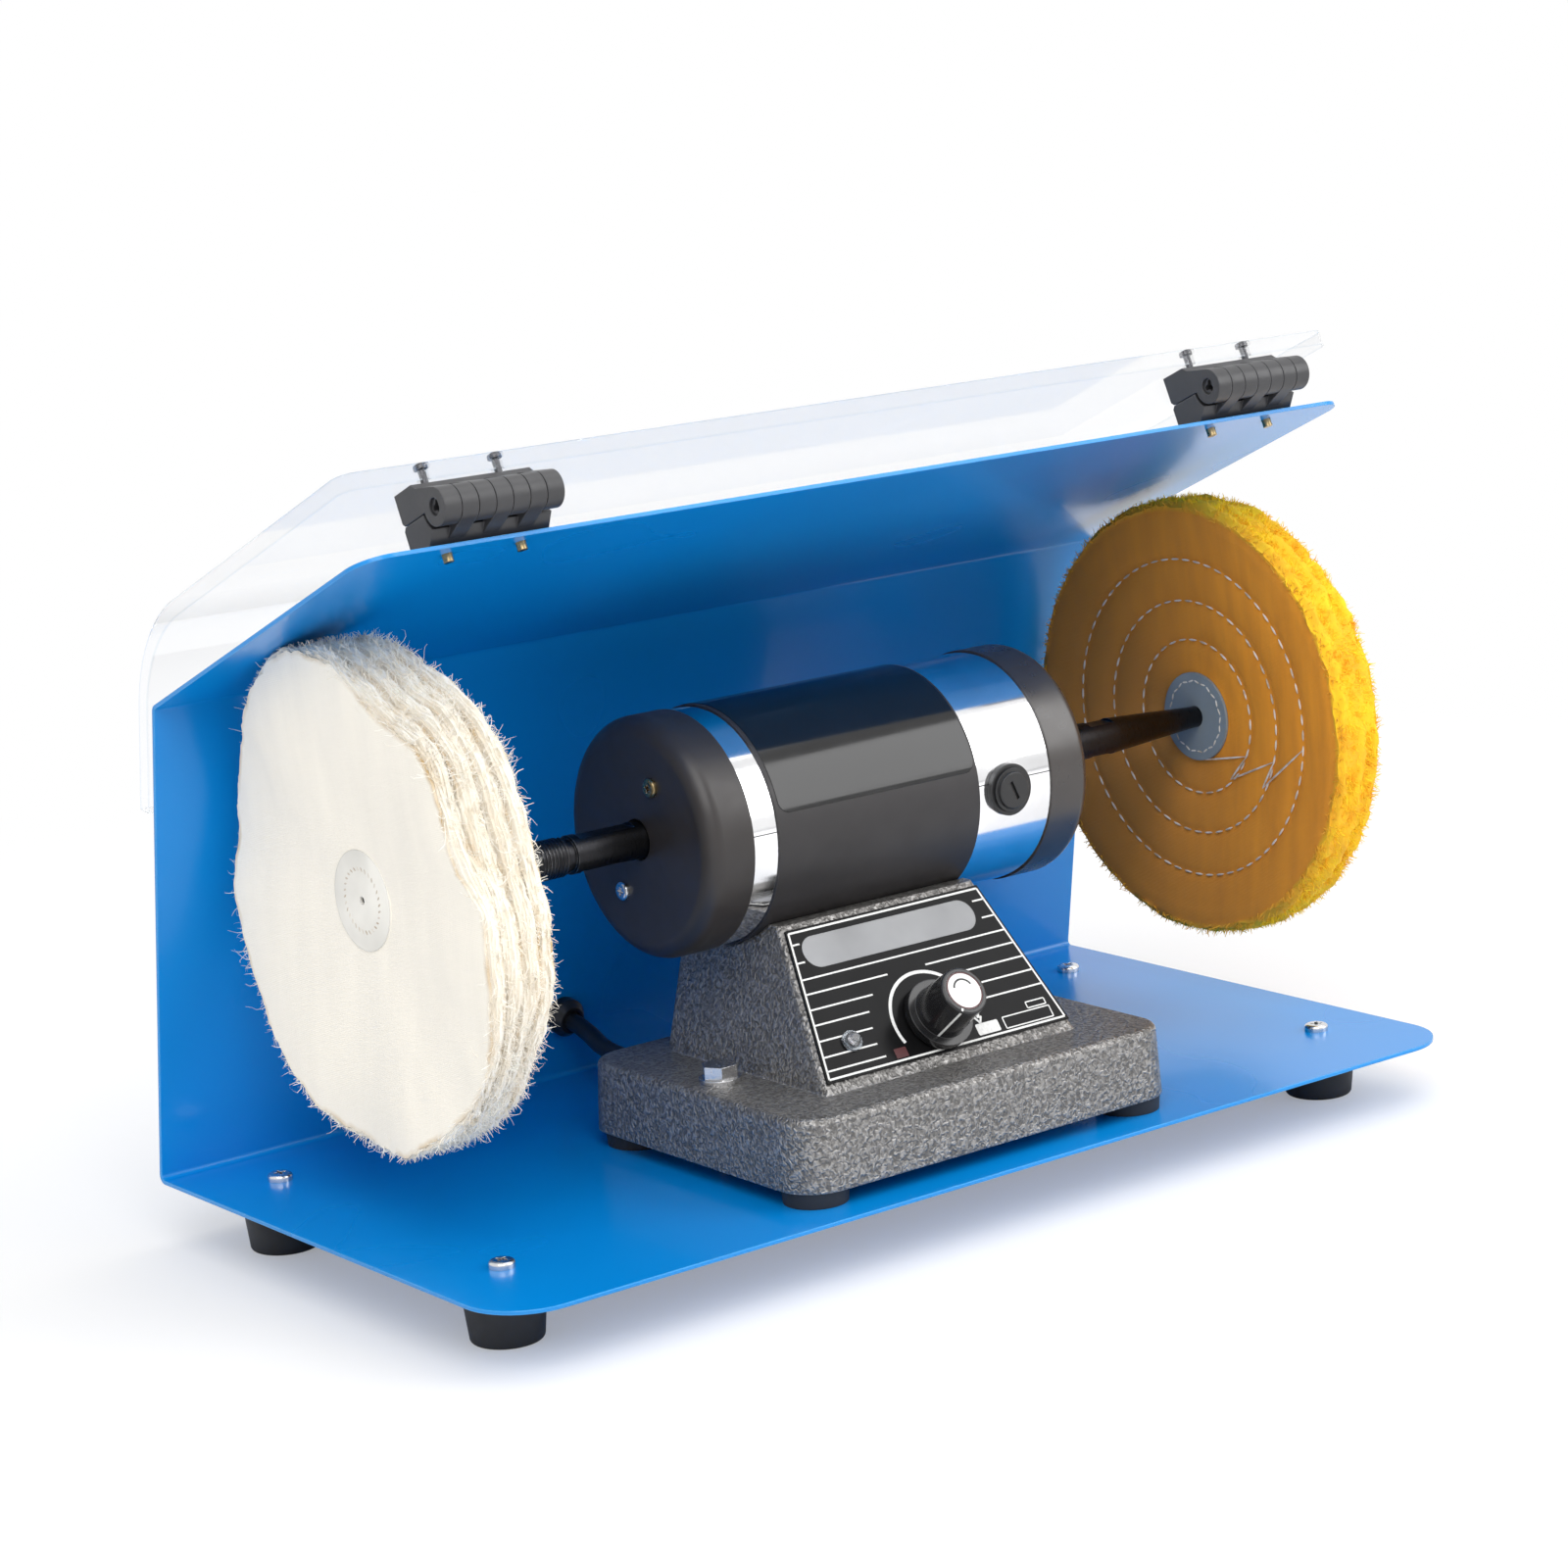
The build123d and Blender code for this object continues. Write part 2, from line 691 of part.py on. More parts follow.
# Control panel, speed control, lamp and knob
low = face_half_width(panel_bottom_slope) - panel_margin
high = face_half_width(panel_top_slope) - panel_margin
panel_outline = make_face(
    Polyline(
        (-low, panel_bottom_slope),
        (low, panel_bottom_slope),
        (high, panel_top_slope),
        (-high, panel_top_slope),
        close=True,
    )
)
panel = panel_frame(0, 0, 0) * extrude(panel_outline, panel_plate)
panel -= panel_frame(0, knob_slope, 0) * disc(bush_radius + screw_play, -panel_plate, 2 * panel_plate)
panel -= panel_frame(lamp_x, lamp_slope, 0) * disc(lamp_radius + screw_play, -panel_plate, 2 * panel_plate)
parts["control_panel_plate"] = panel

knob_frame = panel_frame(0, knob_slope, panel_plate)
wall_inside = -panel_plate - panel_wall - seat_gap
body_back = wall_inside - control_body_length
shaft_end = wall_inside - control_shaft_inside
control_body = disc(control_body_radius, body_back, wall_inside) + disc(bush_radius, wall_inside, bush_height)
control_body -= disc(control_shaft_radius + running_play, shaft_end - moving_gap, bush_height)
parts["speed_control_body"] = knob_frame * control_body
parts["speed_control_nut"] = knob_frame * (
    Pos(0, 0, control_nut_height) * nut(control_nut_width, control_nut_height, bush_radius + screw_play)
)
parts["speed_control_shaft"] = knob_frame * disc(control_shaft_radius, shaft_end, control_shaft_reach)
board = Pos(0, 0, body_back - board_thickness / 2) * Box(board_width, board_height, board_thickness)
parts["control_board"] = knob_frame * board

lamp = disc(lamp_radius, -panel_plate - panel_wall, lamp_flange)
lamp += disc(lamp_flange_radius, 0, lamp_flange)
lamp += Pos(0, 0, lamp_flange) * (
    Sphere(lamp_radius) & disc(lamp_radius, 0, lamp_dome_height)
)
parts["power_lamp"] = panel_frame(lamp_x, lamp_slope, panel_plate) * lamp

knob_profile = make_face(
    Polyline(
        (0, knob_gap),
        (knob_skirt_radius, knob_gap),
        (knob_skirt_radius, knob_gap + knob_skirt_height),
        (knob_base_radius, knob_gap + knob_skirt_height),
        (knob_top_radius, knob_height),
        (0, knob_height),
        close=True,
    )
)
knob = revolve(Plane.XZ * knob_profile, Axis.Z)
knob = fillet(knob.edges().group_by(Axis.Z)[-1], knob_edge)
knob -= disc(knob_room_radius, knob_gap, knob_room_height)
knob -= disc(control_shaft_radius + running_play, knob_room_height, control_shaft_reach + seat_gap)
knob -= disc(knob_cap_radius, knob_height - knob_cap_thickness, knob_height)
knob_cap = disc(knob_cap_radius - running_play, knob_height - knob_cap_thickness, knob_height)
parts["speed_knob"] = knob_frame * knob
parts["knob_cap"] = knob_frame * knob_cap

# Motor tube, sleeve and end caps, built about the X axis
brush_sides = (-1, 1)


def brush_frame(side):
    """Location of a brush line whose Z points away from the shaft."""
    return Plane(origin=(brush_x, 0, 0), x_dir=(1, 0, 0), z_dir=(0, side, 0)).location


tube = along_x(tube_radius, tube_left, tube_right) - along_x(tube_bore, tube_left, tube_right)
sleeve_left = sleeve_x - sleeve_length / 2
sleeve_right = sleeve_x + sleeve_length / 2
sleeve = along_x(sleeve_radius, sleeve_left, sleeve_right)
sleeve -= along_x(tube_radius + running_play, sleeve_left, sleeve_right)
for x in saddle_screw_x:
    screw_hole = Pos(x, 0, 0) * disc(saddle_screw_radius + screw_play, -saddle_radius, 0)
    tube -= screw_hole
    sleeve -= screw_hole
for side in brush_sides:
    tube -= brush_frame(side) * disc(holder_radius + screw_play, 0, 2 * tube_radius)
parts["motor_tube"] = on_motor(tube)
parts["motor_sleeve"] = on_motor(sleeve)

cap_screw_offset = Vector(0, cos(radians(cap_screw_angle)), sin(radians(cap_screw_angle))) * cap_screw_circle
turned_offset = Vector(0, -cap_screw_offset.Y, cap_screw_offset.Z)
right_places = (cap_screw_offset, -cap_screw_offset)
left_places = (turned_offset, -turned_offset)


def end_cap(length, edge_round, screw_places):
    """Cup that closes a tube end: its rim at X = 0 and its face at X = length."""
    cup = along_x(cap_radius, 0, length)
    cup = fillet(cup.edges().group_by(Axis.X)[-1], edge_round)
    inside = along_x(cap_radius - cap_rim, 0, length - cap_wall)
    inside = fillet(inside.edges().group_by(Axis.X)[-1], max(edge_round - cap_wall, cap_wall / 2))
    cup -= inside
    cup -= along_x(cap_shaft_hole, 0, length)
    for place in screw_places:
        cup -= Pos(0, place.Y, place.Z) * along_x(cap_screw_radius + screw_play, 0, length)
    return cup


def bracket(cap_face, screw_places):
    """Plate in the tube end with a bearing seat and two posts; X = 0 is the tube end."""
    frame = along_x(tube_bore - running_play, -bracket_inset - bracket_plate, -bracket_inset)
    frame += along_x(bracket_boss_radius, -bracket_inset, bracket_boss_reach)
    frame -= along_x(bearing_outer_radius + running_play, bracket_boss_reach - bearing_width, bracket_boss_reach)
    frame -= along_x(bracket_hole_radius, -bracket_inset - bracket_plate, bracket_boss_reach)
    for index in range(bracket_vent_count):
        turn = Rot(index * 360 / bracket_vent_count, 0, 0)
        vent = along_x(bracket_vent_radius, -2 * bracket_plate, bracket_plate)
        frame -= turn * Pos(0, bracket_vent_circle, 0) * vent
    for place in screw_places:
        post = Pos(0, place.Y, place.Z)
        frame += post * along_x(bracket_post_radius, -bracket_inset, cap_face - cap_wall)
        frame -= post * along_x(
            cap_screw_radius + screw_play, cap_face - cap_wall - cap_screw_depth, cap_face - cap_wall
        )
    return frame


turn_left = Rot(0, 0, 180)
to_left = Pos(tube_left, 0, 0) * turn_left
to_right = Pos(tube_right, 0, 0)
parts["left_end_cap"] = on_motor(to_left * end_cap(cap_length, left_cap_round, left_places))
parts["right_end_cap"] = on_motor(to_right * end_cap(cap_length, right_cap_round, right_places))
cap_ends = ((to_left, left_places), (to_right, right_places))
parts["bearing_brackets"] = group([on_motor(end * bracket(cap_length, places)) for end, places in cap_ends])
cap_screw = Rot(0, 90, 0) * pan_screw(
    cap_screw_head_radius,
    cap_screw_head_height,
    cap_screw_radius,
    cap_wall + cap_screw_depth - 2 * screw_play,
)
parts["end_cap_screws"] = group(
    [
        on_motor(end * Pos(cap_length, place.Y, place.Z) * cap_screw)
        for end, places in cap_ends
        for place in places
    ]
)

# Bearings
bearing_start = bracket_boss_reach - bearing_width
inner_radius = bearing_bore + bearing_inner_ring
race_radius = bearing_outer_radius - bearing_outer_ring
ball_radius = (race_radius - inner_radius) / 2 - running_play
ball_circle = (race_radius + inner_radius) / 2
outer_ring = along_x(bearing_outer_radius, bearing_start, bracket_boss_reach)
outer_ring -= along_x(race_radius, bearing_start, bracket_boss_reach)
inner_ring = along_x(inner_radius, bearing_start, bracket_boss_reach)
inner_ring -= along_x(bearing_bore + running_play, bearing_start, bracket_boss_reach)
balls = [
    Rot(index * 360 / ball_count, 0, 0)
    * Pos(bearing_start + bearing_width / 2, ball_circle, 0)
    * Sphere(ball_radius)
    for index in range(ball_count)
]
ends = (to_left, to_right)
parts["bearing_outer_rings"] = group([on_motor(end * outer_ring) for end in ends])
parts["bearing_inner_rings"] = group([on_motor(end * inner_ring) for end in ends])
parts["bearing_balls"] = group([on_motor(end * ball) for end in ends for ball in balls])

# Field core and coils
core_left = core_x - core_length / 2
core_right = core_x + core_length / 2


def sector(outer, inner, half_angle, left, right):
    """Part of a ring about X, centred on straight up."""
    reach = 2 * outer
    wedge = make_face(
        Polyline(
            (0, 0),
            (-reach * sin(radians(half_angle)), reach * cos(radians(half_angle))),
            (0, 2 * reach),
            (reach * sin(radians(half_angle)), reach * cos(radians(half_angle))),
            close=True,
        )
    )
    ring = (Circle(outer) - Circle(inner)) & wedge
    return extrude(Plane.YZ.offset(left) * ring, right - left)


yoke_radius = core_radius - core_ring
field = along_x(core_radius, core_left, core_right) - along_x(yoke_radius, core_left, core_right)
pole = sector(yoke_radius + core_ring / 2, core_bore, pole_angle - coil_end, core_left, core_right)
pole += sector(core_bore + pole_shoe, core_bore, pole_shoe_angle, core_left, core_right)
coil_low = core_bore + pole_shoe + coil_play
coil_high = yoke_radius - coil_play
coil = sector(coil_high, coil_low, pole_shoe_angle, core_left - coil_end, core_right + coil_end)
coil -= sector(coil_high + coil_play, coil_low - coil_play, pole_angle, core_left - coil_play, core_right + coil_play)
half_turn = Rot(180, 0, 0)
field += pole
field += half_turn * pole
parts["field_core"] = on_motor(field)
parts["field_coils"] = group([on_motor(coil), on_motor(half_turn * coil)])

# Rotor: shaft, armature, commutator and fan
shaft_left = cap_left - spindle_bore_depth + cap_length - bracket_boss_reach
shaft_right = cap_right + spindle_bore_depth - cap_length + bracket_boss_reach
ring_left = tube_left - bracket_boss_reach + bearing_width
ring_right = tube_right + bracket_boss_reach - bearing_width
shaft = along_x(bearing_bore, shaft_left, shaft_right)
shaft += along_x(shaft_core_radius, ring_left + running_play, ring_right - running_play)
parts["motor_shaft"] = on_motor(shaft)

slot_bottom = armature_radius - slot_depth
core = along_x(armature_radius, core_left, core_right)
core -= along_x(shaft_core_radius + running_play, core_left, core_right)
slot_length = core_length + 2 * winding_end
slot = Pos(core_x, 0, slot_bottom + slot_depth) * Box(slot_length, slot_width, 2 * slot_depth)
bar_height = slot_depth - 2 * winding_play - air_gap
bar = Pos(core_x, 0, slot_bottom + winding_play + bar_height / 2) * Box(
    core_length + 2 * winding_play, slot_width - 2 * winding_play, bar_height
)
windings = along_x(winding_end_radius, core_left - winding_end, core_left - winding_play)
windings += along_x(winding_end_radius, core_right + winding_play, core_right + winding_end)
windings = fillet(windings.edges().group_by(Axis.X)[0] + windings.edges().group_by(Axis.X)[-1], winding_end / 3)
for index in range(slot_count):
    turn = Rot(index * 360 / slot_count, 0, 0)
    core -= turn * slot
    windings += turn * bar
windings -= along_x(shaft_core_radius + running_play, core_left - winding_end, core_right + winding_end)
parts["armature_core"] = on_motor(core)
parts["armature_windings"] = on_motor(windings)

commutator_left = brush_x - commutator_length / 2
commutator_right = brush_x + commutator_length / 2
commutator = along_x(commutator_radius, commutator_left, commutator_right)
commutator -= along_x(shaft_core_radius + running_play, commutator_left, commutator_right)
groove = Pos(brush_x, 0, commutator_radius) * Box(
    commutator_length, commutator_groove, 2 * commutator_groove_depth
)
for index in range(commutator_bars):
    commutator -= Rot((index + 0.5) * 360 / commutator_bars, 0, 0) * groove
parts["commutator"] = on_motor(commutator)

fan = along_x(fan_radius, fan_x, fan_x + fan_disc) + along_x(fan_hub_radius, fan_x - fan_blade, fan_x)
blade_length = fan_radius - fan_hub_radius
blade = Pos(fan_x - fan_blade / 2, 0, fan_hub_radius - fan_disc + blade_length / 2) * Box(
    fan_blade, fan_blade_thickness, blade_length
)
for index in range(fan_blade_count):
    fan += Rot(index * 360 / fan_blade_count, 0, 0) * blade
fan -= along_x(shaft_core_radius + running_play, fan_x - fan_blade, fan_x + fan_disc)
parts["cooling_fan"] = on_motor(fan)

# Brush gear, drawn along Z away from the shaft
channel = brush_size + 2 * brush_play
brush_start = commutator_radius + running_play
brush_end = brush_start + brush_length
thread_start = holder_flange_reach - holder_thread_depth
holder = disc(holder_radius, holder_inner_reach, holder_flange_reach)
holder += disc(holder_flange_radius, tube_radius - tube_wall, holder_flange_reach)
holder -= Pos(0, 0, holder_flange_reach / 2) * Box(channel, channel, holder_flange_reach)
holder -= disc(holder_thread_radius, thread_start, holder_flange_reach)
tube_room = Rot(90, 0, 0) * Rot(0, 90, 0) * Cylinder(tube_radius + running_play, 4 * holder_flange_radius)
neck_only = disc(holder_radius, 0, holder_flange_reach)
holder = (holder & neck_only) + (holder - tube_room)
brush = Pos(0, 0, (brush_start + brush_end) / 2) * Box(brush_size, brush_size, brush_length)
brush -= along_x(brush_start, -brush_size, brush_size)
spring = disc(brush_spring_radius, brush_end, thread_start)
spring -= disc(brush_spring_radius - brush_spring_wall, brush_end, thread_start)
cap_top = holder_flange_reach + brush_cap_height
brush_cap = disc(brush_cap_face_radius, holder_flange_reach, cap_top)
brush_cap = fillet(brush_cap.edges().group_by(Axis.Z)[-1], brush_cap_slot_depth / 2)
brush_cap += disc(brush_cap_radius, holder_flange_reach, holder_flange_reach + brush_cap_rim)
brush_cap += disc(holder_thread_radius - screw_play, thread_start, holder_flange_reach)
slot_room = Box(brush_cap_slot_length, brush_cap_slot, 2 * brush_cap_slot_depth)
brush_cap -= Pos(0, 0, cap_top) * Rot(0, 0, brush_cap_slot_angle) * slot_room
parts["brush_holders"] = group([on_motor(brush_frame(side) * holder) for side in brush_sides])
parts["carbon_brushes"] = group([on_motor(brush_frame(side) * brush) for side in brush_sides])
parts["brush_springs"] = group([on_motor(brush_frame(side) * spring) for side in brush_sides])
parts["brush_caps"] = group([on_motor(brush_frame(side) * brush_cap) for side in brush_sides])

saddle_screw = Pos(0, 0, -saddle_radius - saddle_wall - seat_gap) * Rot(180, 0, 0) * pan_screw(
    saddle_screw_head_radius,
    saddle_screw_head_height,
    saddle_screw_radius,
    saddle_radius + saddle_wall - tube_bore,
)
parts["motor_saddle_screws"] = group([on_motor(Pos(x, 0, 0) * saddle_screw) for x in saddle_screw_x])

# Spindles: a threaded taper on the left and a plain taper on the right
left_root = tube_left - bracket_boss_reach - running_play
left_neck = cap_left - left_shank
left_thread = left_neck - left_groove_width
left_cone = left_thread - left_thread_length
right_root = tube_right + bracket_boss_reach + running_play
right_neck = cap_right + right_shank


def wrench_flats(start, end):
    """Two slabs that cut a pair of flats on a shank."""
    depth = spindle_radius
    offset_z = spindle_flat / 2 + depth / 2
    slab_box = Box(end - start, 4 * spindle_radius, depth)
    return [Pos((start + end) / 2, 0, side * offset_z) * slab_box for side in (-1, 1)]


left_spindle = turned(
    [
        (left_root, 0),
        (left_root, spindle_radius),
        (left_neck, spindle_radius),
        (left_neck, left_groove_radius),
        (left_thread, left_groove_radius),
        (left_thread, left_thread_radius),
        (left_cone, left_thread_radius),
        (left_tip_x, left_tip_radius),
        (left_tip_x, 0),
    ]
)
left_spindle -= along_x(bearing_bore + running_play, shaft_left - seat_gap, left_root)
left_spindle -= wrench_flats(left_neck + left_groove_width, left_neck + left_groove_width + left_flat_length)
right_spindle = turned(
    [
        (right_root, 0),
        (right_root, spindle_radius),
        (right_neck, spindle_radius),
        (right_tip_x, right_tip_radius),
        (right_tip_x, 0),
    ]
)
right_spindle -= along_x(bearing_bore + running_play, right_root, shaft_right + seat_gap)
right_spindle -= wrench_flats(right_neck - right_flat_length, right_neck)
parts["left_spindle"] = on_motor(left_spindle)
parts["right_spindle"] = on_motor(right_spindle)


# Buffs: cotton discs stacked flat at the hub, and standing apart in plies at the rim
def buff(radius, hub_half, rim_half, plies, ply_depth):
    """Buff about X, centred on X = 0, without its bore."""
    ply = 2 * rim_half / plies
    start = radius * rim_start
    points = [(-hub_half, 0), (-hub_half, hub_flat_radius), (-rim_half, start)]
    for index in range(plies):
        left = -rim_half + index * ply
        crown = radius - ply_depth / 4 if index in (0, plies - 1) else radius
        points += [(left + ply * 0.25, crown), (left + ply * 0.75, crown)]
        if index < plies - 1:
            points.append((left + ply, radius - ply_depth))
    points += [(rim_half, start), (hub_half, hub_flat_radius), (hub_half, 0)]
    return turned(points)


def spindle_room(root_x, root_radius, tip_x, tip_radius):
    """Tapering room that a spindle takes, with the buff's play."""
    near, far = sorted([(root_x, root_radius + buff_play), (tip_x, tip_radius + buff_play)])
    return turned([(near[0], 0), near, far, (far[0], 0)])


left_room = spindle_room(left_cone, left_thread_radius, left_tip_x - buff_play, left_tip_radius)
right_room = spindle_room(right_neck, spindle_radius, right_tip_x + buff_play, right_tip_radius)
for name, x, hub_half, room, shape in (
    ("white", white_x, white_hub_half, left_room,
     buff(white_radius, white_hub_half, white_rim_half, white_plies, white_ply_depth)),
    ("yellow", yellow_x, yellow_hub_half, right_room,
     buff(yellow_radius, yellow_hub_half, yellow_rim_half, yellow_plies, yellow_ply_depth)),
):
    pinhole = along_x(pinhole_radius, x - 2 * hub_half, x + 2 * hub_half)
    face = hub_half + disc_thickness
    left_disc = along_x(disc_radius, x - face, x - hub_half)
    right_disc = along_x(disc_radius, x + hub_half, x + face)
    parts[f"{name}_buff"] = on_motor(Pos(x, 0, 0) * shape - room - pinhole)
    parts[f"{name}_buff_discs"] = group(
        [on_motor(left_disc - room - pinhole), on_motor(right_disc - room - pinhole)]
    )

# Grommet in the back wall and gland in the back of the pedestal, both along their own Z
bore = cord_radius + seat_gap
grommet_profile = make_face(
    Polyline(
        (bore, -sheet - grommet_dome),
        (grommet_radius * 0.7, -sheet - grommet_dome),
        (grommet_radius, -sheet - grommet_dome * 0.55),
        (grommet_radius, -sheet),
        (grommet_neck_radius, -sheet),
        (grommet_neck_radius, 0),
        (grommet_radius, 0),
        (grommet_radius, grommet_flange),
        (bore, grommet_flange),
        close=True,
    )
)
parts["cord_grommet"] = grommet_frame * revolve(Plane.XZ * grommet_profile, Axis.Z)
gland = disc(gland_neck_radius, -slab_wall - gland_flange, 0) + disc(gland_radius, 0, gland_flange)
gland += Pos(0, 0, gland_flange + gland_nose / 2) * Cone(gland_neck_radius, cord_radius + seat_gap, gland_nose)
parts["cord_gland"] = gland_frame * gland

# Cord from the gland through the grommet and down to the coil
coil_low_z = coil_clear + cord_radius
cord_start = gland_frame.position + Vector(0, gland_flange + gland_nose, 0)
cord_end = Vector(coil_x, coil_y - coil_outer, coil_low_z)
cord_route = [
    cord_start,
    cord_start + Vector(0, 14.0, 0),
    grommet_point - back_out * 15,
    grommet_point + back_out * 19,
    grommet_point + Vector(15.0, 42.3, -3.0),
    grommet_point + Vector(44.0, 49.3, -15.0),
    cord_end + Vector(-50.0, 12.2, 8.6),
    cord_end - Vector(25.0, 0, 0),
    cord_end,
]


def route_radii(route):
    """Radius of each corner: as large as its two runs allow."""
    radii = []
    for before, here, after in zip(route, route[1:], route[2:]):
        shorter = min((here - before).length, (after - here).length)
        turn = (here - before).get_angle(after - here)
        radii.append(0.45 * shorter / tan(radians(turn / 2)))
    return radii


def tube_along(path):
    """Round cord along a path."""
    start = Plane(origin=path @ 0, z_dir=path % 0)
    return sweep(start * Circle(cord_radius), path=path)


cord_radii = route_radii(cord_route)
cord_path = FilletPolyline(*cord_route, radius=cord_radii)
cord = tube_along(cord_path)
parts["power_cord"] = cord
print("cord radii", [round(radius, 1) for radius in cord_radii])
print("cord turns", [
    round((b - a).get_angle(c - b), 1) for a, b, c in zip(cord_route, cord_route[1:], cord_route[2:])
])
print("cord runs", [round((b - a).length, 1) for a, b in zip(cord_route, cord_route[1:])])
print("cord volume ratio", round(cord.volume / (pi * cord_radius**2 * cord_path.length), 4))

# Coil: half turns that wind in on the bench, climb one layer at the middle and wind out again
half_step = coil_pitch / 2
stations = [coil_outer]
for index in range(coil_lower_half_turns):
    reach = coil_outer - index * half_step
    stations.append(stations[-1] - 2 * reach if index % 2 == 0 else stations[-1] + 2 * reach)
climb_reach = coil_outer - coil_lower_half_turns * half_step
stations.append(stations[-1] + 2 * climb_reach)
for index in range(coil_upper_half_turns):
    reach = climb_reach + (index + 1) * half_step
    stations.append(stations[-1] - 2 * reach if index % 2 == 0 else stations[-1] + 2 * reach)
coil_high_z = coil_low_z + coil_pitch
coil_heights = [coil_low_z] * (coil_lower_half_turns + 1) + [coil_high_z] * (coil_upper_half_turns + 1)
coil_points = [Vector(coil_x, coil_y - s, z) for s, z in zip(stations, coil_heights)]
coil_headings = [Vector(1 if index % 2 == 0 else -1, 0, 0) for index in range(len(coil_points))]
coil_arcs = []
for start, end, heading in zip(coil_points, coil_points[1:], coil_headings):
    middle = (start + end) / 2 + heading * ((end - start).length / 2)
    coil_arcs.append(TangentArc(start, middle, tangent=heading))
    coil_arcs.append(TangentArc(end, middle, tangent=heading))
coil_finish = coil_points[-1] + coil_headings[-1] * plug_lead
coil_lead = Line(coil_points[-1], coil_finish)
coil_path = Wire([edge for curve in coil_arcs + [coil_lead] for edge in curve.edges()])
coil_solid = tube_along(coil_path)
parts["cord_coil"] = coil_solid
samples = [coil_path @ (index / 1400) for index in range(1401)]
skip = ceil(4 * cord_radius / (coil_path.length / 1400))
least = min(
    (samples[i] - samples[j]).length
    for i in range(0, 1401, 2)
    for j in range(i + skip, 1401, 2)
)
print("coil length", round(coil_path.length, 1), "least gap to itself", round(least - 2 * cord_radius, 2))
print("coil volume ratio", round(coil_solid.volume / (pi * cord_radius**2 * coil_path.length), 4))

# Tie round the far side of the coil, where all its turns run side by side
far_side = [-s for s in stations if s < 0]
tie_near = coil_y + min(far_side) - cord_radius - moving_gap
tie_far = coil_y + max(far_side) + cord_radius + moving_gap
tie_low = coil_low_z - cord_radius - moving_gap
tie_high = coil_high_z + cord_radius + moving_gap
tie_middle = Pos(coil_x, (tie_near + tie_far) / 2, (tie_low + tie_high) / 2)
tie_length = tie_far - tie_near
tie_height = tie_high - tie_low
tie_loop = RectangleRounded(tie_length + 2 * tie_thickness, tie_height + 2 * tie_thickness, cord_radius)
tie_loop -= RectangleRounded(tie_length, tie_height, cord_radius - tie_thickness)
parts["cord_tie"] = tie_middle * extrude(Plane.YZ * tie_loop, tie_width / 2, both=True)

# Plug at the coil's end, along X
plug_frame = Plane(origin=coil_finish, x_dir=(0, 1, 0), z_dir=(1, 0, 0)).location
shoulder = plug_relief_length
body_start = shoulder + plug_taper
body_end = body_start + plug_body_length
plug_small = RectangleRounded(2.2 * plug_relief_radius, 2.2 * plug_relief_radius, plug_relief_radius)
plug_large = RectangleRounded(plug_width, plug_thickness, plug_corner)
plug = Pos(0, 0, shoulder / 2) * Cone(cord_radius + sheet, plug_relief_radius, shoulder)
plug += loft([Pos(0, 0, shoulder) * plug_small, Pos(0, 0, body_start) * plug_large], ruled=True)
plug += Pos(0, 0, body_start) * extrude(plug_large, plug_body_length)
plug_pin = disc(plug_pin_radius, body_end, body_end + plug_pin_length)
plug_pin = fillet(plug_pin.edges().group_by(Axis.Z)[-1], plug_pin_radius / 2)
parts["plug_body"] = plug_frame * plug
parts["plug_pins"] = group(
    [plug_frame * Pos(side * plug_pin_spacing / 2, 0, 0) * plug_pin for side in (-1, 1)]
)

os.makedirs("parts", exist_ok=True)
for name, shape in parts.items():
    export_step(shape, f"parts/{name}.step")
print(len(parts), "nodes")
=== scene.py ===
"""Bench polisher for jewelry, dressed for its picture.

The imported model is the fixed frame. Cloth, fringe, stitching, print, screw heads and the cord are built
here and ride on its bodies. Lengths are metres, apart from the print on the panel, which is laid out in
millimetres. X runs along the motor shaft, Y to the back and Z up from the bench top.
"""

import logging
import math
import random
from dataclasses import dataclass
from enum import Enum
from typing import Iterable, Sequence, Union

import bmesh
import bpy
from mathutils import Matrix, Vector, noise


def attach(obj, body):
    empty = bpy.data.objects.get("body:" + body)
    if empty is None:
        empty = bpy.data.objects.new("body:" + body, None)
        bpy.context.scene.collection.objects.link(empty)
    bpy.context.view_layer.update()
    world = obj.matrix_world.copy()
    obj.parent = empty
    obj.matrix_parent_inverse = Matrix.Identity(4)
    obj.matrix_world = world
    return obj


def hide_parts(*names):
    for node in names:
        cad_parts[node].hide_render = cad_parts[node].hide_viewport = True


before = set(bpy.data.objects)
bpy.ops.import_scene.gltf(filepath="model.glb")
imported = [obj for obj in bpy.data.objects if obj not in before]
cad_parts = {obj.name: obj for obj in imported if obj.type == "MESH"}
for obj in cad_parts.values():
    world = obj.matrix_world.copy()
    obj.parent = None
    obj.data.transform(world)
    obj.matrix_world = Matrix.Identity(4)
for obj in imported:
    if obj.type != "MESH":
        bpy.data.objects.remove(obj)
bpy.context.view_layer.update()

LOG = logging.getLogger("polisher")
TURN = 2.0 * math.pi
MM = 0.001

Colour = tuple[float, float, float]
Point = tuple[float, float, float]
Spot = tuple[float, float]
Feed = Union[bpy.types.NodeSocket, float, Colour]


class Body(Enum):
    """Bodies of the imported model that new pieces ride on."""

    HOUSING = "housing"
    ROTOR = "rotor"
    KNOB = "knob"


class Slot(Enum):
    """Names of material slots; nothing here gives a piece one."""

    STEEL = "steel"
    BLACK_OXIDE = "black_oxide"
    MOTOR_BLACK = "motor_black"
    PANEL_BLACK = "panel_black"
    WHITE_PLASTIC = "white_plastic"
    BLACK_RUBBER = "black_rubber"
    CHROME = "chrome"
    WHITE_COTTON = "white_cotton"
    YELLOW_COTTON = "yellow_cotton"
    WHITE_CARD = "white_card"
    CORD_BLACK = "cord_black"


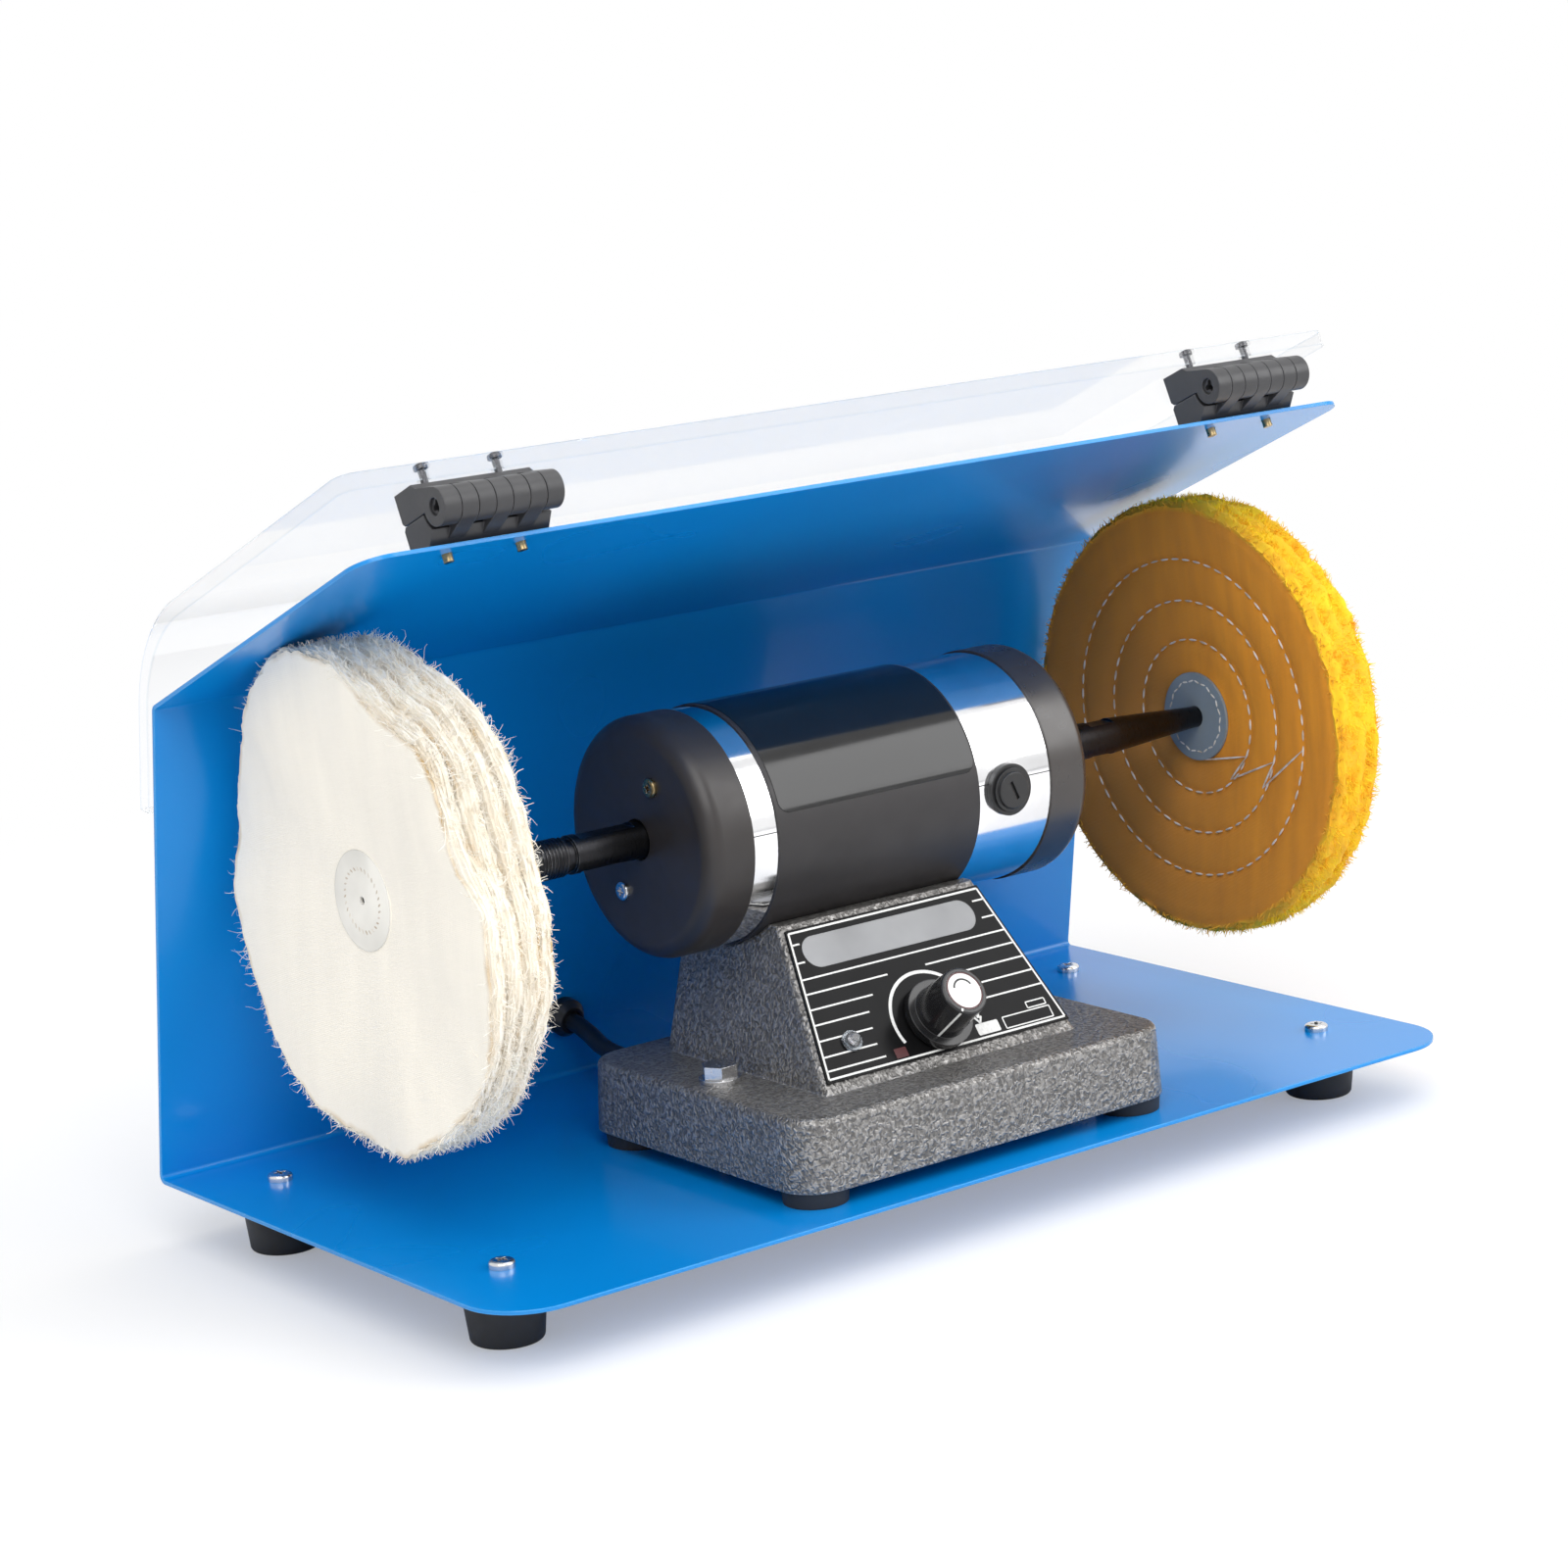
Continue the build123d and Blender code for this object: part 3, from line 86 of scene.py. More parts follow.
def tinted(colour: Colour, factor: float) -> Colour:
    """The same colour, lighter or darker."""
    return tuple(min(1.0, part * factor) for part in colour)


class Tree:
    """Node tree of one material around its Principled shader."""

    def __init__(self, name: str) -> None:
        """Start a material whose patterns read Object coordinates."""
        self.material = bpy.data.materials.new(name)
        self.material.use_nodes = True
        self.nodes = self.material.node_tree.nodes
        self.links = self.material.node_tree.links
        self.shader = self.nodes["Principled BSDF"]
        self.place = self.nodes.new("ShaderNodeTexCoord").outputs["Object"]

    def put(self, socket: bpy.types.NodeSocket, feed: Feed) -> None:
        """Link a socket to another, or set its value.

        Args:
            socket: Input to feed.
            feed: Output of another node, or a plain value.
        """
        if isinstance(feed, bpy.types.NodeSocket):
            self.links.new(feed, socket)
        elif isinstance(feed, tuple) and socket.type == "RGBA":
            socket.default_value = (*feed, 1.0)
        else:
            socket.default_value = feed

    def dress(self, feeds: dict[str, Feed]) -> bpy.types.Material:
        """Feed the shader's sockets.

        Args:
            feeds: Socket names with what goes in.

        Returns:
            The finished material.
        """
        for name, feed in feeds.items():
            self.put(self.shader.inputs[name], feed)
        return self.material

    def math(self, operation: str, first: Feed, second: Feed = 0.0) -> bpy.types.NodeSocket:
        """Join two values.

        Args:
            operation: Name of the Math node's operation.
            first: First value.
            second: Second value.

        Returns:
            The result.
        """
        node = self.nodes.new("ShaderNodeMath")
        node.operation = operation
        self.put(node.inputs[0], first)
        self.put(node.inputs[1], second)
        return node.outputs[0]

    def stretched(self, stretch: Point) -> bpy.types.NodeSocket:
        """Object coordinates stretched for a pattern.

        Args:
            stretch: Scale along each axis.

        Returns:
            The mapped coordinates.
        """
        node = self.nodes.new("ShaderNodeMapping")
        node.vector_type = "TEXTURE"
        node.inputs["Scale"].default_value = [1.0 / part for part in stretch]
        self.links.new(self.place, node.inputs["Vector"])
        return node.outputs["Vector"]

    def noise(self, scale: float, detail: float = 2.0, stretch: Point = (1.0, 1.0, 1.0),
              swirl: float = 0.0) -> bpy.types.NodeSocket:
        """Soft noise between 0 and 1.

        Args:
            scale: Features per metre.
            detail: Octaves.
            stretch: Scale along each axis.
            swirl: Distortion.

        Returns:
            The noise value.
        """
        node = self.nodes.new("ShaderNodeTexNoise")
        node.inputs["Scale"].default_value = scale
        node.inputs["Detail"].default_value = detail
        node.inputs["Distortion"].default_value = swirl
        where = self.place if stretch == (1.0, 1.0, 1.0) else self.stretched(stretch)
        self.links.new(where, node.inputs["Vector"])
        return node.outputs[0]

    def bands(self, scale: float, axis: str, wobble: float = 0.0) -> bpy.types.NodeSocket:
        """Even bands across one axis.

        Args:
            scale: Wave texture scale.
            axis: X, Y or Z.
            wobble: Distortion of the bands.

        Returns:
            The band value between 0 and 1.
        """
        node = self.nodes.new("ShaderNodeTexWave")
        node.bands_direction = axis
        node.inputs["Scale"].default_value = scale
        node.inputs["Distortion"].default_value = wobble
        node.inputs["Detail Scale"].default_value = 3.0
        self.links.new(self.place, node.inputs["Vector"])
        return node.outputs["Fac"]

    def ramp(self, feed: bpy.types.NodeSocket, *stops: tuple[float, Colour]) -> bpy.types.NodeSocket:
        """Colours along a value.

        Args:
            feed: Value between 0 and 1.
            stops: Positions with their colours, in order.

        Returns:
            The colour.
        """
        node = self.nodes.new("ShaderNodeValToRGB")
        elements = node.color_ramp.elements
        for index, (position, colour) in enumerate(stops):
            element = elements[index] if index < 2 else elements.new(position)
            element.position = position
            element.color = (*colour, 1.0)
        self.links.new(feed, node.inputs["Fac"])
        return node.outputs["Color"]

    def spread(self, feed: bpy.types.NodeSocket, low: float, high: float, start: float = 0.3,
               end: float = 0.7) -> bpy.types.NodeSocket:
        """Map a value onto a range.

        Args:
            feed: Value to map.
            low: Result at the start.
            high: Result at the end.
            start: Value that gives the low result.
            end: Value that gives the high result.

        Returns:
            The mapped value.
        """
        node = self.nodes.new("ShaderNodeMapRange")
        for name, value in (("From Min", start), ("From Max", end), ("To Min", low), ("To Max", high)):
            node.inputs[name].default_value = value
        self.links.new(feed, node.inputs["Value"])
        return node.outputs["Result"]

    def mix(self, share: Feed, first: Feed, second: Feed) -> bpy.types.NodeSocket:
        """Blend two colours.

        Args:
            share: Share of the second colour.
            first: First colour.
            second: Second colour.

        Returns:
            The blend.
        """
        node = self.nodes.new("ShaderNodeMix")
        node.data_type = "RGBA"
        self.put(node.inputs[0], share)
        self.put(node.inputs[6], first)
        self.put(node.inputs[7], second)
        return node.outputs[2]

    def along(self, axis: str, start: float, end: float) -> bpy.types.NodeSocket:
        """Mask that fades along one axis of the object.

        Args:
            axis: X, Y or Z.
            start: Station where the mask is still full.
            end: Station where it has gone.

        Returns:
            The mask.
        """
        node = self.nodes.new("ShaderNodeSeparateXYZ")
        self.links.new(self.place, node.inputs[0])
        return self.spread(node.outputs[axis], 1.0, 0.0, start, end)

    def attribute(self, name: str) -> bpy.types.NodeSocket:
        """Value painted on the mesh."""
        node = self.nodes.new("ShaderNodeAttribute")
        node.attribute_name = name
        return node.outputs["Fac"]

    def rounded(self, radius: float) -> bpy.types.NodeSocket:
        """Normal that rounds sharp edges.

        Args:
            radius: Radius of the rounding.

        Returns:
            The softened normal.
        """
        node = self.nodes.new("ShaderNodeBevel")
        node.samples = 4
        node.inputs["Radius"].default_value = radius
        return node.outputs["Normal"]

    def edges(self, soft: bpy.types.NodeSocket, high: float = 0.12) -> bpy.types.NodeSocket:
        """Mask that is bright along sharp edges.

        Args:
            soft: Softened normal of the same surface.
            high: Departure of the normal at which the mask is full.

        Returns:
            The mask.
        """
        node = self.nodes.new("ShaderNodeVectorMath")
        node.operation = "DOT_PRODUCT"
        self.links.new(soft, node.inputs[0])
        self.links.new(self.nodes.new("ShaderNodeNewGeometry").outputs["Normal"], node.inputs[1])
        return self.spread(node.outputs["Value"], 1.0, 0.0, 1.0 - high, 0.995)

    def bump(self, height: bpy.types.NodeSocket, depth: float,
             soft: Union[bpy.types.NodeSocket, None] = None) -> bpy.types.NodeSocket:
        """Relief on the surface.

        Args:
            height: Height between 0 and 1.
            depth: Depth in metres that a height of 1 stands for.
            soft: Normal to lay the relief on.

        Returns:
            The normal.
        """
        node = self.nodes.new("ShaderNodeBump")
        node.inputs["Distance"].default_value = depth
        self.links.new(height, node.inputs["Height"])
        if soft is not None:
            self.links.new(soft, node.inputs["Normal"])
        return node.outputs["Normal"]

    def drift(self, colour: Colour, scale: float, detail: float, low: float,
              high: float) -> bpy.types.NodeSocket:
        """Colour that drifts softly from patch to patch.

        Args:
            colour: Colour of the finish.
            scale: Patches per metre.
            detail: Octaves of the drift.
            low: Factor in the dark patches.
            high: Factor in the light ones.

        Returns:
            The colour.
        """
        return self.ramp(self.noise(scale, detail), (0.3, tinted(colour, low)), (0.7, tinted(colour, high)))

    def rub(self, soft: bpy.types.NodeSocket, reach: float, scale: float, low: float,
            high: float) -> bpy.types.NodeSocket:
        """Mask of uneven wear along sharp edges.

        Args:
            soft: Softened normal of the same surface.
            reach: Departure of the normal at which an edge is fully worn.
            scale: Patches of wear per metre.
            low: Wear in the kept patches.
            high: Wear in the rubbed ones.

        Returns:
            The mask.
        """
        return self.math("MULTIPLY", self.edges(soft, reach), self.spread(self.noise(scale), low, high))


@dataclass(frozen=True)
class PowderCoat:
    """Baked gloss coat on sheet steel, thin along the cut edges and paler there, partly as a painted
    highlight.
    """

    colour: Colour = (0.001, 0.242, 0.68)
    pale: Colour = (0.05, 0.4, 0.85)

    def material(self, name: str) -> bpy.types.Material:
        """Material of the coat."""
        tree = Tree(name)
        soft = tree.rounded(0.0007)
        tone = tree.drift(self.colour, 9.0, 2.0, 0.94, 1.05)
        return tree.dress({
            # paler cut edges: thin coat, and partly a painted highlight of the rounded edge
            "Base Color": tree.mix(tree.edges(soft), tone, self.pale),
            "Roughness": tree.spread(tree.noise(14.0, 1.0), 0.2, 0.28),
            "Normal": tree.bump(tree.noise(150.0, 0.0), 0.00001, soft),
            "Specular IOR Level": 0.4,
            "Coat Weight": 0.15,
            "Coat Roughness": 0.06,
        })


@dataclass(frozen=True)
class HammerPaint:
    """Grey hammer-finish paint on a casting: silver ridges over dark hollows."""

    dark: Colour = (0.112, 0.108, 0.104)
    grey: Colour = (0.195, 0.188, 0.181)
    silver: Colour = (0.325, 0.316, 0.307)

    def material(self, name: str) -> bpy.types.Material:
        """Material of the paint."""
        tree = Tree(name)
        soft = tree.rounded(0.0012)
        worms = tree.noise(760.0, 0.5, swirl=0.9)
        coat = tree.ramp(worms, (0.34, self.dark), (0.5, self.grey), (0.68, self.silver))
        worn = tree.rub(soft, 0.2, 900.0, 0.2, 0.9)
        return tree.dress({
            "Base Color": tree.mix(worn, coat, tinted(self.silver, 1.9)),
            "Metallic": tree.spread(worms, 0.45, 0.6, 0.4, 0.65),
            "Roughness": tree.spread(tree.noise(300.0), 0.3, 0.38),
            "Normal": tree.bump(worms, 0.0007, soft),
        })


@dataclass(frozen=True)
class Moulding:
    """Moulded plastic or rubber with a fine skin, paler where edges are rubbed."""

    colour: Colour
    shine: float = 0.4
    grain: float = 0.00002
    worn: float = 2.2
    edge: float = 0.0005
    gloss: float = 0.5

    def material(self, name: str) -> bpy.types.Material:
        """Material of the moulding."""
        tree = Tree(name)
        soft = tree.rounded(self.edge)
        tone = tree.drift(self.colour, 40.0, 3.0, 0.85, 1.15)
        rubbed = tree.rub(soft, 0.25, 220.0, 0.2, 0.9)
        return tree.dress({
            "Base Color": tree.mix(rubbed, tone, tinted(self.colour, self.worn)),
            "Roughness": tree.spread(tree.noise(130.0), self.shine * 0.85, self.shine * 1.15),
            "Normal": tree.bump(tree.noise(500.0, 1.0), self.grain, soft),
            "Specular IOR Level": self.gloss,
        })


@dataclass(frozen=True)
class Metal:
    """Bare, plated or blackened metal with fine tool marks across one axis, with painted shade below a
    height.
    """

    colour: Colour
    shine: float = 0.2
    marks: Point = (1.0, 1.0, 1.0)
    depth: float = 0.000004
    edge: float = 0.0003
    # height below which painted shade turns the metal nearly black
    painted_shade_below: float = 0.0
    bright: Colour = (0.75, 0.75, 0.76)

    def material(self, name: str) -> bpy.types.Material:
        """Material of the metal."""
        tree = Tree(name)
        soft = tree.rounded(self.edge)
        lines = tree.noise(700.0, 3.0, self.marks)
        tone = tree.drift(self.colour, 60.0, 3.0, 0.88, 1.06)
        tone = tree.mix(tree.rub(soft, 0.3, 300.0, 0.0, 0.6), tone, self.bright)
        if self.painted_shade_below > 0.0:
            # painted shade: nearly black below the given height, under the slab
            under_slab_shade = tree.along("Z", self.painted_shade_below, self.painted_shade_below + MM)
            tone = tree.mix(under_slab_shade, tone, tinted(self.colour, 0.06))
        return tree.dress({
            "Base Color": tone,
            "Metallic": 1.0,
            "Roughness": tree.spread(lines, self.shine * 0.7, self.shine * 1.3),
            "Normal": tree.bump(lines, self.depth, soft),
        })


@dataclass(frozen=True)
class Acrylic:
    """Clear sheet with faint wipe marks, denser along its cut edges."""

    colour: Colour = (0.93, 0.96, 1.0)
    haze: float = 0.03
    body: float = 0.22
    clear: float = 1.0
    bend: float = 1.14
    rim: Colour = (0.62, 0.76, 0.9)

    def material(self, name: str) -> bpy.types.Material:
        """Material of the sheet."""
        tree = Tree(name)
        wipes = tree.noise(35.0, 4.0, (1.0, 4.0, 4.0), 0.5)
        cut = tree.edges(tree.rounded(0.0012), 0.15)
        return tree.dress({
            "Base Color": tree.mix(cut, self.colour, self.rim),
            "Transmission Weight": self.clear,
            "IOR": self.bend,
            "Alpha": tree.spread(cut, self.body, min(1.0, self.body + 0.5), 0.0, 1.0),
            "Roughness": tree.spread(wipes, 0.0, self.haze, 0.45, 0.75),
            "Normal": tree.bump(tree.noise(16.0, 1.0), 0.00004),
        })


@dataclass(frozen=True)
class Cloth:
    """Woven cotton; its frayed edge and a painted shade come from values painted on the mesh."""

    colour: Colour
    fringe: Colour
    streak: float = 0.08
    thread: float = 560.0
    sheen: float = 0.2
    # colour of the painted shade
    painted_shade_colour: Colour = (0.6, 0.5, 0.35)

    def material(self, name: str) -> bpy.types.Material:
        """Material of the cloth."""
        tree = Tree(name)
        streaks = tree.noise(26.0, 4.0, (1.0, 6.0, 1.0))
        pale, deep = tinted(self.colour, 1.0 + self.streak), tinted(self.colour, 1.0 - self.streak)
        tone = tree.ramp(streaks, (0.3, deep), (0.72, pale))
        uneven = tree.spread(tree.noise(90.0, 3.0), 0.35, 1.0)
        edged = tree.mix(tree.math("MULTIPLY", tree.attribute("fray"), uneven), tone, self.fringe)
        weave = tree.math("MAXIMUM", tree.bands(self.thread, "Y", 1.0), tree.bands(self.thread, "Z", 1.0))
        relief = tree.math("ADD", tree.math("MULTIPLY", weave, 0.5), tree.noise(420.0, 3.0))
        return tree.dress({
            # painted shade: the cloth darkens where the mesh's shade value says so
            "Base Color": tree.mix(tree.attribute("painted_shade"), edged, self.painted_shade_colour),
            "Roughness": tree.spread(streaks, 0.82, 0.95),
            "Normal": tree.bump(relief, 0.00012),
            "Sheen Weight": self.sheen,
            "Sheen Roughness": 0.5,
        })


@dataclass(frozen=True)
class Yarn:
    """Loose cotton fibre that differs from thread to thread, with painted shade up to a station along X."""

    colour: Colour
    deep: Colour
    sheen: float = 0.2
    painted_shade_tint: Colour = (0.72, 0.34, 0.025)
    painted_shade_end: float = -1.0
    painted_shade_run: float = 0.0045

    def material(self, name: str) -> bpy.types.Material:
        """Material of the fibre."""
        tree = Tree(name)
        strands = tree.noise(240.0, 2.0)
        tone = tree.ramp(strands, (0.34, self.deep), (0.55, self.colour), (0.75, tinted(self.colour, 1.1)))
        painted_shade_mask = tree.along("X", self.painted_shade_end - self.painted_shade_run, self.painted_shade_end)
        return tree.dress({
            # painted shade: browner towards the station where the rim meets the inner face
            "Base Color": tree.mix(painted_shade_mask, tone, self.painted_shade_tint),
            "Roughness": tree.spread(strands, 0.8, 0.95),
            "Normal": tree.bump(tree.noise(3000.0, 1.0), 0.00002),
            "Sheen Weight": self.sheen,
        })


@dataclass(frozen=True)
class Ink:
    """Screen print with a slightly uneven film."""

    colour: Colour
    shine: float = 0.4

    def material(self, name: str) -> bpy.types.Material:
        """Material of the print."""
        tree = Tree(name)
        film = tree.noise(1200.0, 3.0)
        return tree.dress({
            "Base Color": tree.ramp(film, (0.32, tinted(self.colour, 0.85)), (0.6, self.colour)),
            "Roughness": tree.spread(film, self.shine, self.shine * 1.2),
            "Normal": tree.bump(film, 0.00001),
        })


@dataclass(frozen=True)
class Wound:
    """Enamelled copper wire, turn beside turn."""

    colour: Colour = (0.62, 0.27, 0.1)
    pitch: float = 380.0

    def material(self, name: str) -> bpy.types.Material:
        """Material of the winding."""
        tree = Tree(name)
        wires = tree.bands(self.pitch, "Z", 0.6)
        return tree.dress({
            "Base Color": tree.ramp(wires, (0.1, tinted(self.colour, 0.35)), (0.7, self.colour)),
            "Metallic": 0.6,
            "Roughness": tree.spread(tree.noise(200.0), 0.28, 0.42),
            "Normal": tree.bump(wires, 0.0003),
        })


BLUE_COAT = PowderCoat().material("blue_coat_baked")
HAMMER = HammerPaint().material("hammertone_paint")
RUBBER = Moulding((0.018, 0.018, 0.02), 0.6, 0.00004, 2.0, 0.0008).material("rubber_black")
HINGE = Moulding((0.038, 0.038, 0.041), 0.4, 0.00002, 2.6, 0.0006).material("hinge_moulding")
GLOSSY = Moulding((0.012, 0.012, 0.013), 0.2, 0.000004, 2.5, 0.0005).material("knob_moulding")
SATIN = Moulding((0.014, 0.014, 0.015), 0.36, 0.000015, 2.5, 0.0006).material("black_satin")
ENAMEL = Moulding((0.02, 0.018, 0.019), 0.46, 0.000004, 2.6, 0.0005).material("motor_enamel")
CAP_BLACK = Moulding((0.025, 0.021, 0.02), 0.4, 0.000004, 2.0, 0.0006).material("end_cap_black")
CAP_BROWN = Moulding((0.036, 0.03, 0.027), 0.3, 0.000003, 2.4, 0.0006, 0.7).material("end_cap_bronzed")
ZINC = Metal((0.72, 0.72, 0.73), 0.22).material("zinc_plate")
# painted shade on the bolt shanks below the slab
ZINC_BOLT = Metal((0.72, 0.72, 0.73), 0.22, painted_shade_below=0.0275).material("zinc_plate_bolt")
DARK_STEEL = Metal((0.09, 0.09, 0.095), 0.3).material("dark_screw")
BRASS = Metal((0.72, 0.5, 0.2), 0.25).material("turned_brass")
BRASS_DARK = Metal((0.36, 0.27, 0.14), 0.3).material("passivated_brass")
CHROME = Metal((0.86, 0.86, 0.87), 0.1, (14.0, 0.4, 0.4), 0.000003).material("rolled_chrome")
OXIDE = Metal((0.035, 0.035, 0.038), 0.34, (10.0, 0.5, 0.5), 0.00001).material("black_oxide_turned")
STEEL = Metal((0.6, 0.6, 0.61), 0.26, (8.0, 0.6, 0.6)).material("turned_steel")
ALUMINIUM = Metal((0.7, 0.71, 0.72), 0.34).material("cast_aluminium")
LAMINATION = Metal((0.22, 0.22, 0.23), 0.42, (30.0, 0.2, 0.2), 0.00006).material("stacked_sheets")
COPPER = Wound().material("wound_copper")
BARS = Metal((0.75, 0.36, 0.18), 0.3, (0.5, 4.0, 4.0)).material("commutator_bars")
CARBON = Moulding((0.02, 0.02, 0.021), 0.7, 0.00005).material("pressed_carbon")
BOARD = Moulding((0.02, 0.13, 0.05), 0.4).material("board_resin")
CLEAR = Acrylic().material("clear_sheet")
LENS = Acrylic((0.5, 0.5, 0.52), 0.02, 1.0, 0.85, 1.5).material("lamp_lens")
CARD = Moulding((0.8, 0.78, 0.72), 0.75, 0.00004, 0.85).material("pressed_card")
CARD_BLUE = Moulding((0.24, 0.28, 0.3), 0.75, 0.00004, 0.9).material("pressed_card_grey")
PANEL = Moulding((0.007, 0.007, 0.0075), 0.2, 0.000002, 3.0, 0.0003, 0.08).material("panel_lacquer")
INK_WHITE = Ink((0.82, 0.82, 0.8)).material("print_white")
INK_RED = Ink((0.07, 0.008, 0.01)).material("print_red")
INK_BLACK = Ink((0.01, 0.01, 0.01)).material("print_black")
SILVER = Moulding((0.27, 0.275, 0.285), 0.4, 0.00001, 1.3, 0.0003, 0.6).material("brushed_silver")
CAP_WHITE = Moulding((0.8, 0.8, 0.78), 0.3, 0.000005, 1.1).material("cap_white")
CORD = Moulding((0.014, 0.014, 0.015), 0.42, 0.00003, 1.6).material("cord_jacket")
LABEL = Moulding((0.006, 0.006, 0.0065), 0.12, 0.000001, 6.0, 0.0003).material("label_gloss")
SEAM = Moulding((0.02, 0.02, 0.022), 0.6).material("tube_seam")
COTTON = Cloth((0.955, 0.905, 0.8), (0.6, 0.43, 0.22), 0.02).material("white_cloth")
COTTON_YARN = Yarn((0.95, 0.91, 0.835), (0.82, 0.74, 0.6)).material("white_yarn")
# the face's amber is partly the treated cloth's own colour and partly painted shade; the rim is the lit
# yellow
AMBER = Cloth(
    (0.92, 0.33, 0.022), (0.95, 0.64, 0.012), 0.14, 700.0, 0.0, (0.52, 0.21, 0.035)
).material("treated_cloth_painted_shade")
# painted shade makes the fluff browner next to the inner face
AMBER_YARN = Yarn((0.96, 0.69, 0.02), (0.92, 0.47, 0.008), 0.0, painted_shade_end=0.161).material("yellow_yarn")
STITCH = Yarn((0.72, 0.66, 0.58), (0.45, 0.36, 0.26)).material("stitch_thread")


def finish_node(material: bpy.types.Material, *names: str) -> None:
    """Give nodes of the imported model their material.

    Args:
        material: Material to show.
        names: Node names.
    """
    for name in names:
        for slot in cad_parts[name].material_slots:
            slot.material = material


def show(name: str, data: bpy.types.ID) -> bpy.types.Object:
    """Make an object of a mesh, curve, light or camera and put it in the scene.

    Args:
        name: Name of the object.
        data: What it shows.

    Returns:
        The object, at the origin.
    """
    thing = bpy.data.objects.new(name, data)
    bpy.context.scene.collection.objects.link(thing)
    return thing


def add_piece(name: str, shape: bmesh.types.BMesh, material: bpy.types.Material, body: Body,
              replaces: Sequence[str] = (), crease: float = 40.0) -> bpy.types.Object:
    """Turn a finished shape into a piece that rides on a body.

    Args:
        name: Name of the piece.
        shape: Shape in the model's frame; it is freed.
        material: Its material.
        body: Body that carries it.
        replaces: Nodes that it stands for.
        crease: Angle in degrees above which an edge stays sharp.

    Returns:
        The new object.
    """
    mesh = bpy.data.meshes.new(name)
    shape.to_mesh(mesh)
    shape.free()
    mesh.polygons.foreach_set("use_smooth", [True] * len(mesh.polygons))
    mesh.set_sharp_from_angle(angle=math.radians(crease))
    mesh.materials.append(material)
    piece = show(name, mesh)
    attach(piece, body.value)
    if replaces:
        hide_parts(*replaces)
    LOG.info("%s: %d faces", name, len(mesh.polygons))
    return piece


def lathe(profile: Sequence[Spot], steps: int, angle: float = TURN) -> bmesh.types.BMesh:
    """Turn a profile about the X axis.

    Args:
        profile: Stations along X with their radii.
        steps: Faces round the turn.
        angle: Angle of the turn.

    Returns:
        The turned shape.
    """
    shape = bmesh.new()
    verts = [shape.verts.new((station, 0.0, radius)) for station, radius in profile]
    line = [shape.edges.new(pair) for pair in zip(verts, verts[1:])]
    bmesh.ops.spin(shape, geom=verts + line, cent=(0.0, 0.0, 0.0), axis=(1.0, 0.0, 0.0),
                   dvec=(0.0, 0.0, 0.0), angle=angle, steps=steps, use_merge=angle == TURN,
                   use_duplicate=False)
    bmesh.ops.remove_doubles(shape, verts=shape.verts, dist=1e-7)
    bmesh.ops.recalc_face_normals(shape, faces=shape.faces)
    return shape


def place(shape: bmesh.types.BMesh, matrix: Matrix) -> bmesh.types.BMesh:
    """Move a whole shape and hand it back."""
    bmesh.ops.transform(shape, matrix=matrix, verts=shape.verts)
    return shape


def as_mesh(shape: bmesh.types.BMesh, name: str) -> bpy.types.Mesh:
    """Keep a shape as a mesh to stamp, and free it.

    Args:
        shape: Shape to keep.
        name: Name of the mesh.

    Returns:
        The mesh.
    """
    mesh = bpy.data.meshes.new(name)
    shape.to_mesh(mesh)
    shape.free()
    return mesh


def stamp(target: bmesh.types.BMesh, pattern: bpy.types.Mesh, matrix: Matrix) -> None:
    """Add a copy of a mesh to a shape.

    Args:
        target: Shape that grows.
        pattern: Mesh to copy.
        matrix: Place of the copy.
    """
    pattern.transform(matrix)
    target.from_mesh(pattern)
    pattern.transform(matrix.inverted())


def flat_sheet(length: float, width: float, corner: float = 0.0) -> bmesh.types.BMesh:
    """Flat rectangle round the origin.

    Args:
        length: Size along X.
        width: Size along Y.
        corner: Radius of its corners.

    Returns:
        The rectangle, on Z = 0.
    """
    shape = bmesh.new()
    bmesh.ops.create_grid(shape, x_segments=1, y_segments=1, size=0.5)
    bmesh.ops.scale(shape, vec=(length, width, 1.0), verts=shape.verts)
    if corner > 0.0:
        bmesh.ops.bevel(shape, geom=shape.verts[:], offset=corner, affect="VERTICES", segments=8,
                        profile=0.5, material=-1, offset_type="OFFSET")
    return shape


def merged(shapes: Iterable[bmesh.types.BMesh]) -> bmesh.types.BMesh:
    """Gather shapes into one, and free them.

    Args:
        shapes: Shapes to gather.

    Returns:
        One shape that holds them all.
    """
    whole = bmesh.new()
    for shape in shapes:
        mesh = as_mesh(shape, "gathered")
        whole.from_mesh(mesh)
        bpy.data.meshes.remove(mesh)
    return whole


def carve(shape: bmesh.types.BMesh, cutter: bmesh.types.BMesh) -> bmesh.types.BMesh:
    """Cut one closed shape out of another, and free both.

    Args:
        shape: Shape that is cut.
        cutter: Room to cut away.

    Returns:
        What is left.
    """
    helpers = [show(name, as_mesh(part, name)) for name, part in (("carved", shape), ("cutter", cutter))]
    cut = helpers[0].modifiers.new("cut", "BOOLEAN")
    cut.object = helpers[1]
    cut.solver = "EXACT"
    result = bmesh.new()
    result.from_object(helpers[0], bpy.context.evaluated_depsgraph_get())
    for helper in helpers:
        mesh = helper.data
        bpy.data.objects.remove(helper)
        bpy.data.meshes.remove(mesh)
    return result


